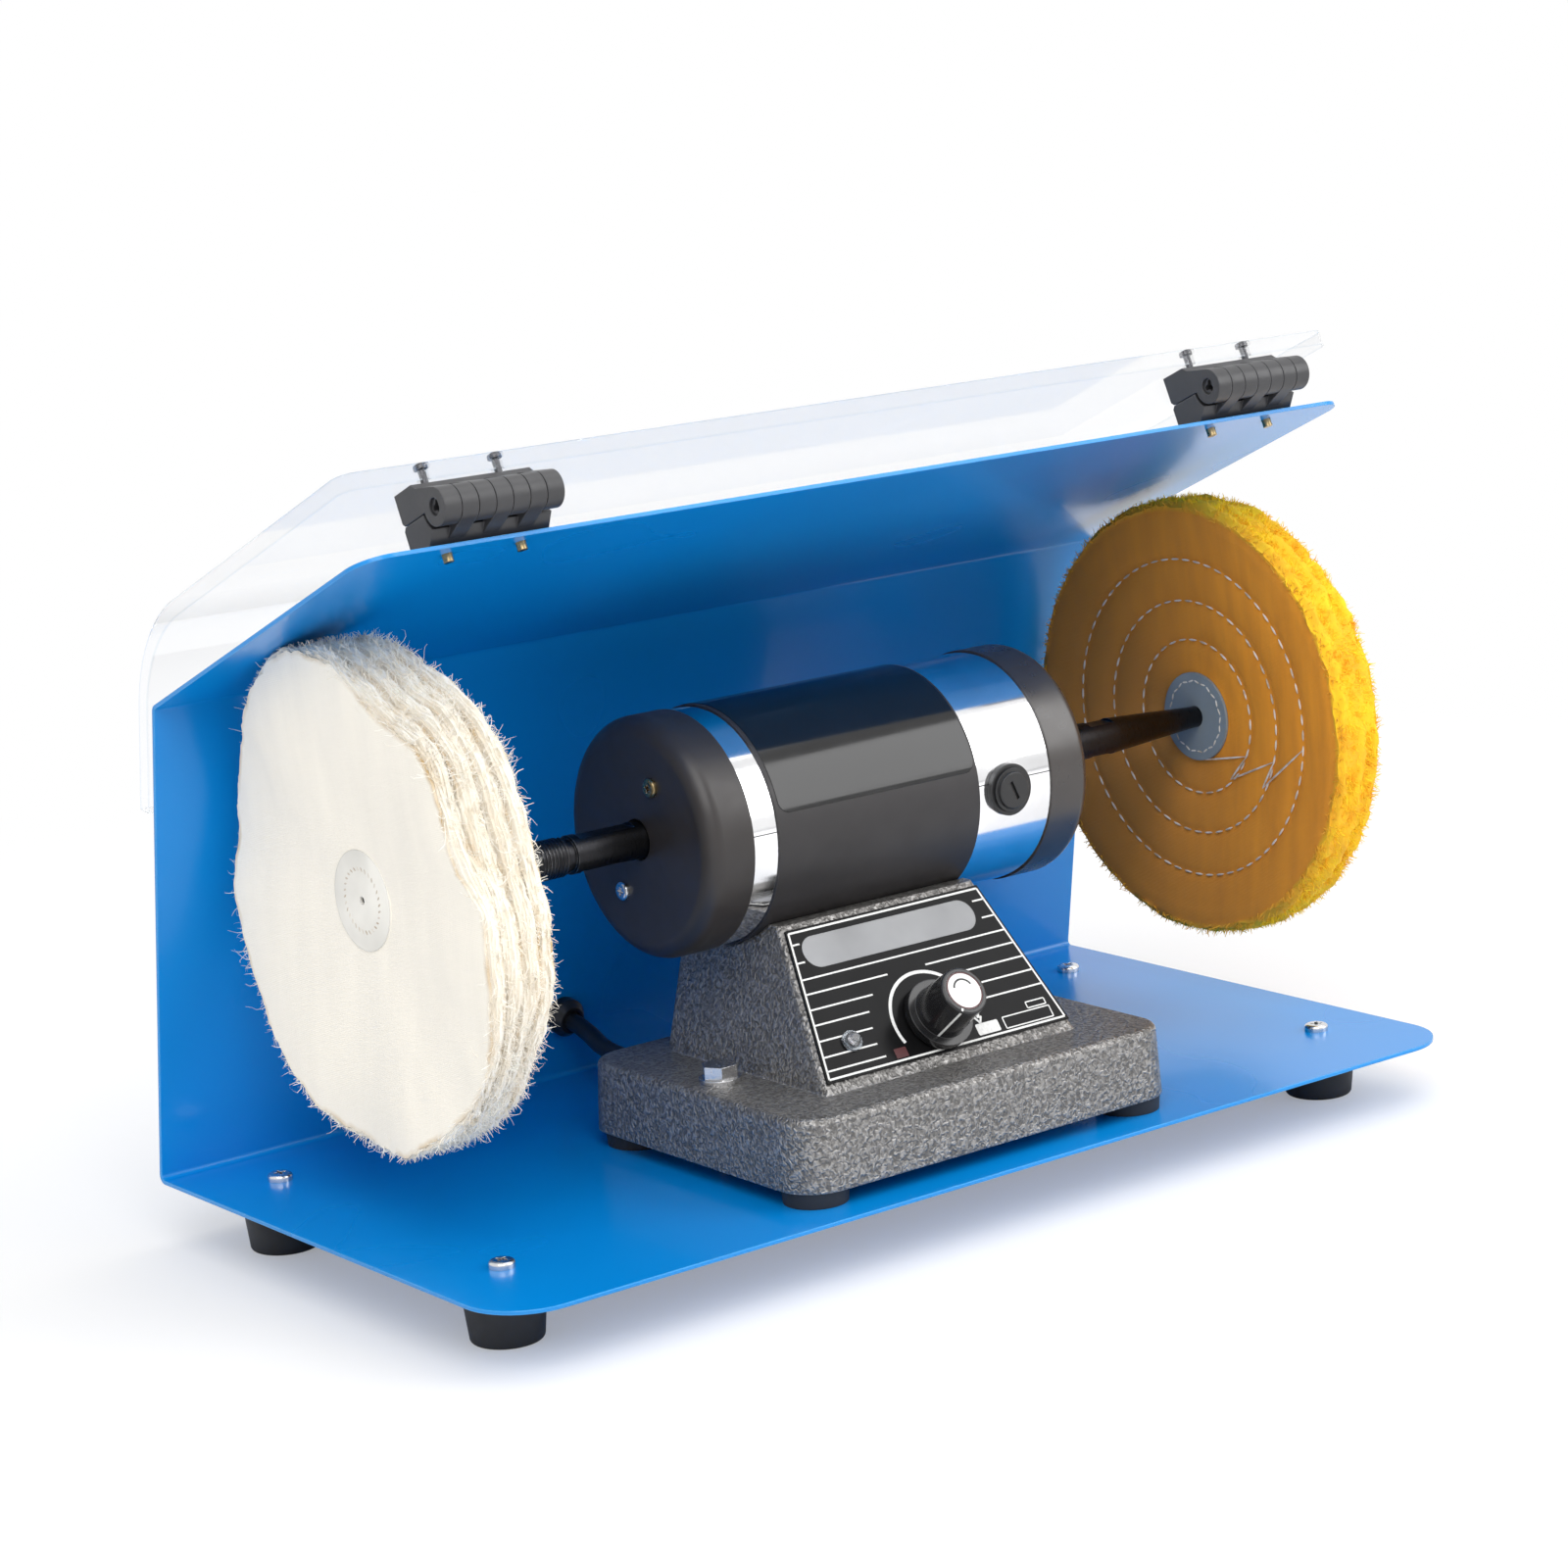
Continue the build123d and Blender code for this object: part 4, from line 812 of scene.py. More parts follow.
def lobed_post(radius: float, lobes: int, swing: float, bottom: float, top: float) -> bmesh.types.BMesh:
    """Post along Z with a lobed outline, used for screw recesses.

    Args:
        radius: Mean radius.
        lobes: Number of lobes.
        swing: Share by which the radius swings.
        bottom: Lower end.
        top: Upper end.

    Returns:
        The closed post.
    """
    shape = bmesh.new()
    bmesh.ops.create_circle(shape, cap_ends=True, segments=lobes * 10, radius=1.0)
    for vert in shape.verts:
        reach = radius * (1.0 + swing * math.cos(lobes * math.atan2(vert.co.y, vert.co.x)))
        vert.co = Vector((vert.co.x * reach, vert.co.y * reach, bottom))
    top_face = bmesh.ops.extrude_face_region(shape, geom=shape.faces[:])["geom"]
    risen = [part for part in top_face if isinstance(part, bmesh.types.BMVert)]
    bmesh.ops.translate(shape, verts=risen, vec=(0.0, 0.0, top - bottom))
    bmesh.ops.recalc_face_normals(shape, faces=shape.faces)
    return shape


UPRIGHT = Matrix.Rotation(-math.pi / 2, 4, "Y")


def pan_head(radius: float, height: float, shank: float, length: float) -> bmesh.types.BMesh:
    """Cross-recessed pan-head screw along Z, its head on Z = 0.

    Args:
        radius: Radius of the head.
        height: Height of the head.
        shank: Radius of the shank.
        length: Length of the shank.

    Returns:
        The screw.
    """
    profile = [(-length, 0.0), (-length, shank), (0.0, shank), (0.0, radius)]
    for step in range(7):
        swing = step * math.pi / 12
        profile.append((height * (0.55 + 0.45 * math.sin(swing)), radius * (0.62 + 0.38 * math.cos(swing))))
    screw = lathe([*profile, (height, 0.0)], 36)
    return carve(place(screw, UPRIGHT), lobed_post(radius * 0.36, 4, 0.45, height * 0.35, height * 1.5))


@dataclass(frozen=True)
class Bench:
    """Directions and places that several assemblies share."""

    motor: Matrix = Matrix.Translation((0.0, -0.005, 0.1215))
    panel_foot: Point = (-0.0015, -0.068, 0.0484)
    panel_slope: float = 53.5018
    panel_plate: float = 0.0008

    def panel(self) -> Matrix:
        """Face of the panel in millimetres: X across, Y up its slope and Z out of it.

        Returns:
            The matrix that lays print on the plate.
        """
        lean = Matrix.Rotation(math.radians(self.panel_slope), 4, "X")
        face = Matrix.Translation((0.0, 0.0, self.panel_plate))
        return Matrix.Translation(self.panel_foot) @ lean @ face @ Matrix.Scale(MM, 4)


BENCH = Bench()


@dataclass
class Housing:
    """Bent blue sheet with its feet, screws and cord bush."""

    foot_x: float = 0.162
    foot_front: float = -0.057
    foot_back: float = 0.067
    sheet_top: float = 0.0212
    head_radius: float = 0.0039
    head_height: float = 0.0024
    shank_radius: float = 0.002
    shank_length: float = 0.0144

    def build(self) -> None:
        """Dress the sheet and set the foot screws."""
        finish_node(BLUE_COAT, "housing_shell")
        finish_node(RUBBER, "housing_feet")
        finish_node(SATIN, "cord_grommet")
        finish_node(ZINC, "foot_nuts")
        head = pan_head(self.head_radius, self.head_height, self.shank_radius, self.shank_length)
        screw = as_mesh(head, "foot_screw")
        screws = bmesh.new()
        feet = [(side * self.foot_x, y) for side in (-1, 1) for y in (self.foot_front, self.foot_back)]
        for index, (x, y) in enumerate(feet):
            spot = Matrix.Translation((x, y, self.sheet_top))
            stamp(screws, screw, spot @ Matrix.Rotation(0.4 + index, 4, "Z"))
        add_piece("foot_screw_set", screws, ZINC, Body.HOUSING, ["foot_screws"])


@dataclass
class HingedHood:
    """Clear hood with its moulded hinges and pins."""

    hinge_x: float = 0.1445
    pin_y: float = -0.057346
    pin_z: float = 0.239459
    pin_half: float = 0.01895
    pin_radius: float = 0.0025
    recess_depth: float = 0.004
    recess_rise: float = 0.002

    def build(self) -> None:
        """Dress the hood and hinges and set the recessed pins."""
        finish_node(CLEAR, "clear_hood")
        finish_node(HINGE, "left_hinge_roof_leaf", "right_hinge_roof_leaf", "left_hinge_hood_leaf",
                    "right_hinge_hood_leaf")
        finish_node(DARK_STEEL, "hood_screws")
        finish_node(BRASS_DARK, "hinge_roof_screws")
        self.pins()

    def pins(self) -> None:
        """Two pins with a three-lobed recess in each end."""
        half, radius = self.pin_half, self.pin_radius
        pin = lathe([(-half, 0.0), (-half, radius), (half, radius), (half, 0.0)], 32)
        for end in (-1, 1):
            recess = lobed_post(radius * 0.64, 3, 0.36, half - self.recess_depth, half + self.recess_rise)
            pin = carve(pin, place(recess, Matrix.Rotation(end * math.pi / 2, 4, "Y")))
        pattern = as_mesh(pin, "hinge_pin")
        pins = bmesh.new()
        for side in (-1, 1):
            stamp(pins, pattern, Matrix.Translation((side * self.hinge_x, self.pin_y, self.pin_z)))
        add_piece("hinge_pin_pair", pins, HINGE, Body.HOUSING, ["hinge_pins"])


@dataclass
class ControlPanel:
    """Lacquered plate with its print, knob and lamp, in millimetres across and up the slope.

    The rules are ruled lines: height, left end and right end of the gap round the knob. A line without a
    right end stops at the gap.
    """

    border_low: Spot = (46.6, 4.6)
    border_high: Spot = (37.2, 52.4)
    line: float = 0.55
    film: float = 0.04
    rules: tuple[tuple[float, float, Union[float, None]], ...] = (
        (48.5, -35.0, 33.4), (42.5, -36.0, 34.0), (32.2, -9.5, 5.5), (27.1, -18.0, 18.5),
        (22.1, -22.0, 21.0), (16.9, -23.5, 21.0), (11.7, -24.5, None), (7.2, -23.5, None),
    )
    whole_rule: float = 37.0
    field: tuple[Spot, Spot] = ((-35.2, 39.6), (32.0, 50.2))
    field_corner: float = 5.2
    white_block: tuple[Spot, Spot] = ((12.6, 5.6), (21.4, 9.4))
    red_block: tuple[Spot, Spot] = ((-20.0, 5.4), (-15.4, 8.6))
    outlines: tuple[tuple[Spot, Spot], ...] = (((23.6, 5.6), (42.6, 9.4)), ((34.6, 10.2), (42.0, 12.2)))
    outline_line: float = 0.4
    knob_slope: float = 15.0
    knob_foot: float = 8.72
    knob_top: float = 7.86
    grip_low: float = 3.7
    grip_high: float = 17.6
    cap_height: float = 18.5
    arc_radius: float = 15.6
    arc_line: float = 1.1
    arc_ends: Spot = (-14.0, 200.0)
    arrow: float = -16.0
    pointer: float = 235.0
    pointer_width: float = 0.7

    def build(self) -> None:
        """Dress the plate and lay the print on it."""
        finish_node(PANEL, "control_panel_plate")
        finish_node(GLOSSY, "speed_knob")
        finish_node(CAP_WHITE, "knob_cap")
        finish_node(LENS, "power_lamp")
        finish_node(SATIN, "speed_control_body")
        finish_node(BRASS, "speed_control_nut")
        finish_node(ALUMINIUM, "speed_control_shaft")
        finish_node(BOARD, "control_board")
        self.print_lines()
        self.print_blocks()
        self.knob_marks()

    def strip(self, start: Spot, end: Spot, width: float) -> bmesh.types.BMesh:
        """Printed bar between two places on the panel.

        Args:
            start: Across and up the slope.
            end: Across and up the slope.
            width: Width of the bar.

        Returns:
            The bar, lying on Z = 0.
        """
        run = Vector(end) - Vector(start)
        shape = flat_sheet(run.length, width)
        self.thicken(shape)
        middle = (Vector(start) + Vector(end)) / 2
        turn = Matrix.Rotation(math.atan2(run.y, run.x), 4, "Z")
        return place(shape, Matrix.Translation((middle.x, middle.y, 0.0)) @ turn)

    def thicken(self, shape: bmesh.types.BMesh) -> None:
        """Give flat print the height of its film."""
        bmesh.ops.solidify(shape, geom=shape.faces[:], thickness=self.film)
        low = min(vert.co.z for vert in shape.verts)
        bmesh.ops.translate(shape, verts=shape.verts, vec=(0.0, 0.0, -low))
        bmesh.ops.recalc_face_normals(shape, faces=shape.faces)

    def frame_round(self, corners: Sequence[Spot], width: float) -> list[bmesh.types.BMesh]:
        """Printed line round an outline.

        Args:
            corners: Corners in order.
            width: Width of the line.

        Returns:
            One bar for each side.
        """
        return [self.strip(a, b, width) for a, b in zip(corners, [*corners[1:], corners[0]])]

    def arc(self, centre: Spot, radius: float, width: float, start: float, end: float) -> bmesh.types.BMesh:
        """Printed arc on the panel.

        Args:
            centre: Centre across and up the slope.
            radius: Radius of its middle line.
            width: Width of the line.
            start: First angle in degrees, from the panel's right.
            end: Last angle in degrees.

        Returns:
            The arc, lying on Z = 0.
        """
        shape = bmesh.new()
        ends = [shape.verts.new((radius + side * width / 2, 0.0, 0.0)) for side in (-1, 1)]
        edge = shape.edges.new(ends)
        steps = max(8, int(abs(end - start) / 4))
        bmesh.ops.spin(shape, geom=[*ends, edge], cent=(0.0, 0.0, 0.0), axis=(0.0, 0.0, 1.0),
                       dvec=(0.0, 0.0, 0.0), angle=math.radians(end - start), steps=steps, use_merge=False,
                       use_duplicate=False)
        self.thicken(shape)
        turn = Matrix.Rotation(math.radians(start), 4, "Z")
        return place(shape, Matrix.Translation((*centre, 0.0)) @ turn)

    def block(self, low: Spot, high: Spot, corner: float) -> bmesh.types.BMesh:
        """Printed block with rounded corners.

        Args:
            low: Lower left corner.
            high: Upper right corner.
            corner: Radius of the corners.

        Returns:
            The block, lying on Z = 0.
        """
        shape = flat_sheet(high[0] - low[0], high[1] - low[1], corner)
        self.thicken(shape)
        return place(shape, Matrix.Translation(((low[0] + high[0]) / 2, (low[1] + high[1]) / 2, 0.0)))

    def on_panel(self, shapes: Iterable[bmesh.types.BMesh]) -> bmesh.types.BMesh:
        """Gather print and lay it on the plate."""
        return place(merged(shapes), BENCH.panel())

    def side_at(self, slope: float) -> float:
        """Half the width inside the border at a height up the slope."""
        share = (slope - self.border_low[1]) / (self.border_high[1] - self.border_low[1])
        return self.border_low[0] + (self.border_high[0] - self.border_low[0]) * share

    def print_lines(self) -> None:
        """White border, ruled lines and the arrowed arc round the knob."""
        low, high = self.border_low, self.border_high
        shapes = self.frame_round([(-low[0], low[1]), low, high, (-high[0], high[1])], self.line * 1.2)
        for slope, left_end, right_end in self.rules:
            shapes.append(self.strip((-self.side_at(slope), slope), (left_end, slope), self.line))
            if right_end is not None:
                shapes.append(self.strip((right_end, slope), (self.side_at(slope), slope), self.line))
        side, slope = self.side_at(self.whole_rule), self.whole_rule
        shapes.append(self.strip((-side, slope), (side, slope), self.line))
        shapes.append(self.arc((0.0, self.knob_slope), self.arc_radius, self.arc_line, *self.arc_ends))
        tip = math.radians(self.arrow)
        head = (self.arc_radius * math.cos(tip), self.knob_slope + self.arc_radius * math.sin(tip))
        for swing in (-1, 1):
            shapes.append(self.strip((head[0], head[1] - 1.2), (head[0] + swing * 1.3, head[1] + 1.0), 0.7))
        add_piece("panel_print_lines", self.on_panel(shapes), INK_WHITE, Body.HOUSING)

    def print_blocks(self) -> None:
        """Plain silver field, and small plain blocks beside the knob."""
        pill = self.on_panel([self.block(*self.field, self.field_corner)])
        add_piece("panel_bare_field", pill, SILVER, Body.HOUSING)
        boxes = [self.block(*self.white_block, 0.5)]
        for low, high in self.outlines:
            boxes += self.frame_round([low, (high[0], low[1]), high, (low[0], high[1])], self.outline_line)
        add_piece("panel_print_block", self.on_panel(boxes), INK_WHITE, Body.HOUSING)
        red = self.on_panel([self.block(*self.red_block, 0.3)])
        add_piece("panel_red_mark", red, INK_RED, Body.HOUSING)

    def knob_marks(self) -> None:
        """Pointer line up the knob and the ring and arc on its cap."""
        side = math.radians(self.pointer)
        out = Vector((math.cos(side), math.sin(side), 0.0))
        across = Vector((-math.sin(side), math.cos(side), 0.0))
        shape = bmesh.new()
        bmesh.ops.create_cube(shape, size=1.0)
        for vert in shape.verts:
            high = vert.co.z > 0.0
            reach = (self.knob_top if high else self.knob_foot) + (0.08 if vert.co.x > 0.0 else -0.2)
            height = self.grip_high if high else self.grip_low
            vert.co = out * reach + across * vert.co.y * self.pointer_width + Vector((0.0, 0.0, height))
        knob = BENCH.panel() @ Matrix.Translation((0.0, self.knob_slope, 0.0))
        lift = Matrix.Translation((0.0, 0.0, self.cap_height))
        crown = self.strip((6.5, 0.0), (7.5, 0.0), self.pointer_width)
        place(crown, lift @ Matrix.Rotation(side, 4, "Z"))
        line = place(merged([shape, crown]), knob)
        add_piece("knob_pointer", line, INK_WHITE, Body.KNOB)
        ring = self.arc((0.0, 0.0), 6.0, 0.45, 0.0, 359.0)
        add_piece("knob_cap_ring", place(ring, knob @ lift), INK_RED, Body.KNOB)
        arc = self.arc((0.0, 0.4), 3.4, 0.6, 20.0, 160.0)
        add_piece("knob_cap_arc", place(arc, knob @ lift), INK_BLACK, Body.KNOB)


@dataclass
class Pedestal:
    """Hammer-painted casting with its feet, bolts and cord relief."""

    gland: Point = (-0.042, 0.027775, 0.037)
    bush_radius: float = 0.0045
    bush_depth: float = 0.006
    collar_radius: float = 0.0065
    collar: float = 0.002
    relief: float = 0.020
    tip_radius: float = 0.0033
    ribs: int = 6
    rib_radius: float = 0.0046
    rib_height: float = 0.0007

    def build(self) -> None:
        """Dress the casting and add the ribbed relief."""
        finish_node(HAMMER, "pedestal_casting")
        finish_node(RUBBER, "pedestal_feet")
        finish_node(ZINC_BOLT, "pedestal_bolts")
        finish_node(ZINC, "pedestal_bolt_nuts", "pedestal_plate_screws", "motor_saddle_screws")
        finish_node(STEEL, "pedestal_bottom_plate")
        self.cord_relief()

    def cord_relief(self) -> None:
        """Tapered relief whose ribs let the cord bend."""
        profile = [(-self.bush_depth, 0.0), (-self.bush_depth, self.bush_radius), (0.0, self.bush_radius),
                   (0.0, self.collar_radius), (self.collar, self.collar_radius)]
        for rib in range(self.ribs):
            start = self.collar + 0.6 * MM + rib * (self.relief - self.collar - 1.2 * MM) / self.ribs
            radius = self.rib_radius - (self.rib_radius - self.tip_radius) * rib / self.ribs
            root = radius - self.rib_height
            profile += [(start, root), (start + 0.6 * MM, radius), (start + 1.9 * MM, radius),
                        (start + 2.4 * MM, root)]
        profile += [(self.relief, self.tip_radius), (self.relief, 0.0)]
        spot = Matrix.Translation(self.gland) @ Matrix.Rotation(math.pi / 2, 4, "Z")
        add_piece("cord_relief_ribbed", place(lathe(profile, 32), spot), RUBBER, Body.HOUSING,
                  ["cord_gland"])


@dataclass
class Motor:
    """Chrome tube in a black sleeve between two end caps."""

    tube_radius: float = 0.037
    sleeve_radius: float = 0.0375
    label_left: float = -0.042
    label_right: float = 0.0345
    label_low: float = 12.0
    label_high: float = 122.0
    label_corner: float = 0.004
    label_film: float = 0.00012
    label_cuts: int = 48
    seams: tuple[Spot, ...] = ((-0.0525, -0.0436), (0.0354, 0.0647))
    seam_angle: float = 85.5
    seam_width: float = 0.000296
    seam_film: float = 0.00006
    left_face: float = -0.0691
    right_face: float = 0.0813
    screw_circle: float = 0.0195
    screw_angle: float = 118.0
    head_radius: float = 0.003
    head_height: float = 0.0014
    shank_radius: float = 0.002
    shank_length: float = 0.0103

    def build(self) -> None:
        """Dress the outside and the running parts inside."""
        finish_node(CHROME, "motor_tube")
        finish_node(ENAMEL, "motor_sleeve")
        finish_node(CAP_BLACK, "left_end_cap")
        finish_node(CAP_BROWN, "right_end_cap")
        finish_node(SATIN, "brush_caps", "brush_holders", "cooling_fan")
        finish_node(CARBON, "carbon_brushes")
        finish_node(ALUMINIUM, "bearing_brackets")
        finish_node(STEEL, "bearing_outer_rings", "bearing_inner_rings", "bearing_balls", "motor_shaft",
                    "brush_springs")
        finish_node(LAMINATION, "field_core", "armature_core")
        finish_node(COPPER, "field_coils", "armature_windings")
        finish_node(BARS, "commutator")
        self.cap_screws()
        self.label()
        self.seam()

    def cap_screws(self) -> None:
        """Cross-recessed screws in both end caps, the upper left one yellow-passivated."""
        head = pan_head(self.head_radius, self.head_height, self.shank_radius, self.shank_length)
        screw = as_mesh(head, "cap_screw")
        swing = math.radians(self.screw_angle)
        y, z = self.screw_circle * math.cos(swing), self.screw_circle * math.sin(swing)
        plated, yellow = bmesh.new(), bmesh.new()
        for face, side in ((self.left_face, -1), (self.right_face, 1)):
            facing = Matrix.Rotation(side * math.pi / 2, 4, "Y")
            for end in (1, -1):
                spot = BENCH.motor @ Matrix.Translation((face, end * y, end * z))
                target = yellow if side < 0 < end else plated
                stamp(target, screw, spot @ facing @ Matrix.Rotation(0.7 * end + side, 4, "Z"))
        add_piece("cap_screws_plated", plated, ZINC, Body.HOUSING, ["end_cap_screws"])
        add_piece("cap_screw_yellow", yellow, BRASS_DARK, Body.HOUSING)

    def label(self) -> None:
        """Bare glossy label wrapped over the top of the sleeve."""
        arc = math.radians(self.label_high - self.label_low) * self.sleeve_radius
        shape = flat_sheet(self.label_right - self.label_left, arc, self.label_corner)
        place(shape, Matrix.Translation(((self.label_left + self.label_right) / 2, arc / 2, 0.0)))
        for cut in range(1, self.label_cuts):
            bmesh.ops.bisect_plane(shape, geom=shape.verts[:] + shape.edges[:] + shape.faces[:], dist=1e-7,
                                   plane_co=(0.0, arc * cut / self.label_cuts, 0.0), plane_no=(0.0, 1.0, 0.0))
        bmesh.ops.solidify(shape, geom=shape.faces[:], thickness=self.label_film)
        low = min(vert.co.z for vert in shape.verts)
        for vert in shape.verts:
            angle = math.radians(self.label_low) + vert.co.y / self.sleeve_radius
            radius = self.sleeve_radius + vert.co.z - low
            vert.co = Vector((vert.co.x, -math.cos(angle) * radius, math.sin(angle) * radius))
        bmesh.ops.recalc_face_normals(shape, faces=shape.faces)
        add_piece("motor_bare_label", place(shape, BENCH.motor), LABEL, Body.HOUSING)

    def seam(self) -> None:
        """Dark joint line along the front of the bright tube."""
        shapes = []
        radius = self.tube_radius + self.seam_film / 2
        for ends in self.seams:
            strip = lathe([(end, radius) for end in ends], 2, self.seam_width / self.tube_radius)
            bmesh.ops.solidify(strip, geom=strip.faces[:], thickness=self.seam_film)
            shapes.append(place(strip, Matrix.Rotation(math.radians(self.seam_angle), 4, "X")))
        add_piece("tube_joint_line", place(merged(shapes), BENCH.motor), SEAM, Body.HOUSING)


@dataclass
class Spindles:
    """Tapered spindles that carry the buffs, the left one threaded."""

    thread_start: float = -0.0972
    thread_end: float = -0.1180
    cone_end: float = -0.1480
    pitch: float = 0.00125
    root: float = 0.00565
    crest: float = 0.00612
    taper_drop: float = 0.0033
    taper_run: float = 0.0454
    steps: int = 28

    def build(self) -> None:
        """Dress both spindles and cut the thread's ridges."""
        finish_node(OXIDE, "left_spindle", "right_spindle")
        turns = (self.thread_start - self.cone_end) / self.pitch
        ridge = bmesh.new()
        points = ((0.0, self.root), (-self.pitch * 0.4, self.crest), (-self.pitch * 0.6, self.crest),
                  (-self.pitch, self.root))
        verts = [ridge.verts.new((self.thread_start + along, 0.0, radius)) for along, radius in points]
        line = [ridge.edges.new(pair) for pair in zip(verts, verts[1:])]
        count = int(turns * self.steps)
        bmesh.ops.spin(ridge, geom=verts + line, cent=(0.0, 0.0, 0.0), axis=(1.0, 0.0, 0.0),
                       dvec=(-self.pitch / self.steps, 0.0, 0.0), angle=TURN * count / self.steps,
                       steps=count, use_merge=False, use_duplicate=False)
        slope = self.taper_drop / self.taper_run
        for vert in ridge.verts:
            beyond = max(0.0, self.thread_end - vert.co.x)
            radius = math.hypot(vert.co.y, vert.co.z)
            vert.co.yz = vert.co.yz * ((radius - slope * beyond) / radius)
        bmesh.ops.remove_doubles(ridge, verts=ridge.verts, dist=1e-7)
        bmesh.ops.recalc_face_normals(ridge, faces=ridge.faces)
        add_piece("spindle_thread", place(ridge, BENCH.motor), OXIDE, Body.ROTOR,
                  crease=20.0)


def hump(angle: float, centre: float, width: float) -> float:
    """Soft bump round a circle, in degrees, 1 at its centre."""
    gap = (angle - centre + 180.0) % 360.0 - 180.0
    return math.exp(-((gap / width) ** 2))


def rim_point(angle: float, radius: float, along: float) -> Vector:
    """Point round the shaft; 0 degrees is the front and 90 the top."""
    turn = math.radians(angle)
    return Vector((along, -math.cos(turn) * radius, math.sin(turn) * radius))


def humps(angle: float, rows: Iterable[Point]) -> float:
    """Sum of soft bumps, each with its height, centre and width."""
    return sum(height * hump(angle, centre, width) for height, centre, width in rows)


def drifting(spot: Vector, depth: float) -> float:
    """Soft noise at a spot of a buff's face, at a depth through the buff."""
    return noise.noise(Vector((spot[0], spot[1], depth)))


def fibres(count: int, thickness: float, curl: float, cuts: int,
           rng: random.Random) -> list[bpy.types.Mesh]:
    """Bent loose threads of unit length along Z.

    Args:
        count: How many different ones.
        thickness: Radius at the root.
        curl: How far they bend.
        cuts: Joints along each thread.
        rng: Seeded source of chance.

    Returns:
        One mesh for each.
    """
    made = []
    for index in range(count):
        shape = bmesh.new()
        bmesh.ops.create_cone(shape, cap_ends=True, segments=3, radius1=thickness,
                              radius2=thickness * 0.45, depth=1.0)
        bmesh.ops.translate(shape, verts=shape.verts, vec=(0.0, 0.0, 0.5))
        long = [edge for edge in shape.edges if edge.calc_length() > 0.5]
        bmesh.ops.subdivide_edges(shape, edges=long, cuts=cuts)
        bend, wave, phase = rng.uniform(-curl, curl), rng.uniform(-curl, curl) * 0.4, rng.uniform(0.0, 6.0)
        for vert in shape.verts:
            rise = vert.co.z
            vert.co.x += bend * rise * rise
            vert.co.y += wave * (math.sin(phase + 4.0 * rise) - math.sin(phase)) * rise
            vert.co.z -= abs(bend) * 0.35 * rise * rise
        made.append(as_mesh(shape, f"fibre_{cuts}_{index}"))
    return made


def stand(root: Vector, way: Vector, length: float, limit: float, least: float) -> Matrix:
    """Matrix that stands a unit thread on a rim, shortened where it would leave the buff's room.

    Args:
        root: Where the thread starts.
        way: Direction that it leaves in.
        length: Its full length.
        limit: Radius of the room that the buff turns in.
        least: Least share of the length that is kept.

    Returns:
        The placing matrix.
    """
    way = way.normalized()
    reach = math.hypot(root.y, root.z)
    rise = (way.y * root.y + way.z * root.z) / reach * length
    length *= min(1.0, max(least, (limit - reach) / max(rise, 1e-6)))
    turn = way.to_track_quat("Z", "Y").to_matrix().to_4x4()
    return Matrix.Translation(root) @ turn @ Matrix.Scale(length, 4)


def keep_inside(shape: bmesh.types.BMesh, limit: float) -> None:
    """Bend whatever stands out of the room that a buff turns in back to its limit.

    Args:
        shape: Threads round the shaft.
        limit: Radius of the room.
    """
    for vert in shape.verts:
        reach = math.hypot(vert.co.y, vert.co.z)
        if reach > limit:
            vert.co.yz = vert.co.yz * (limit / reach)


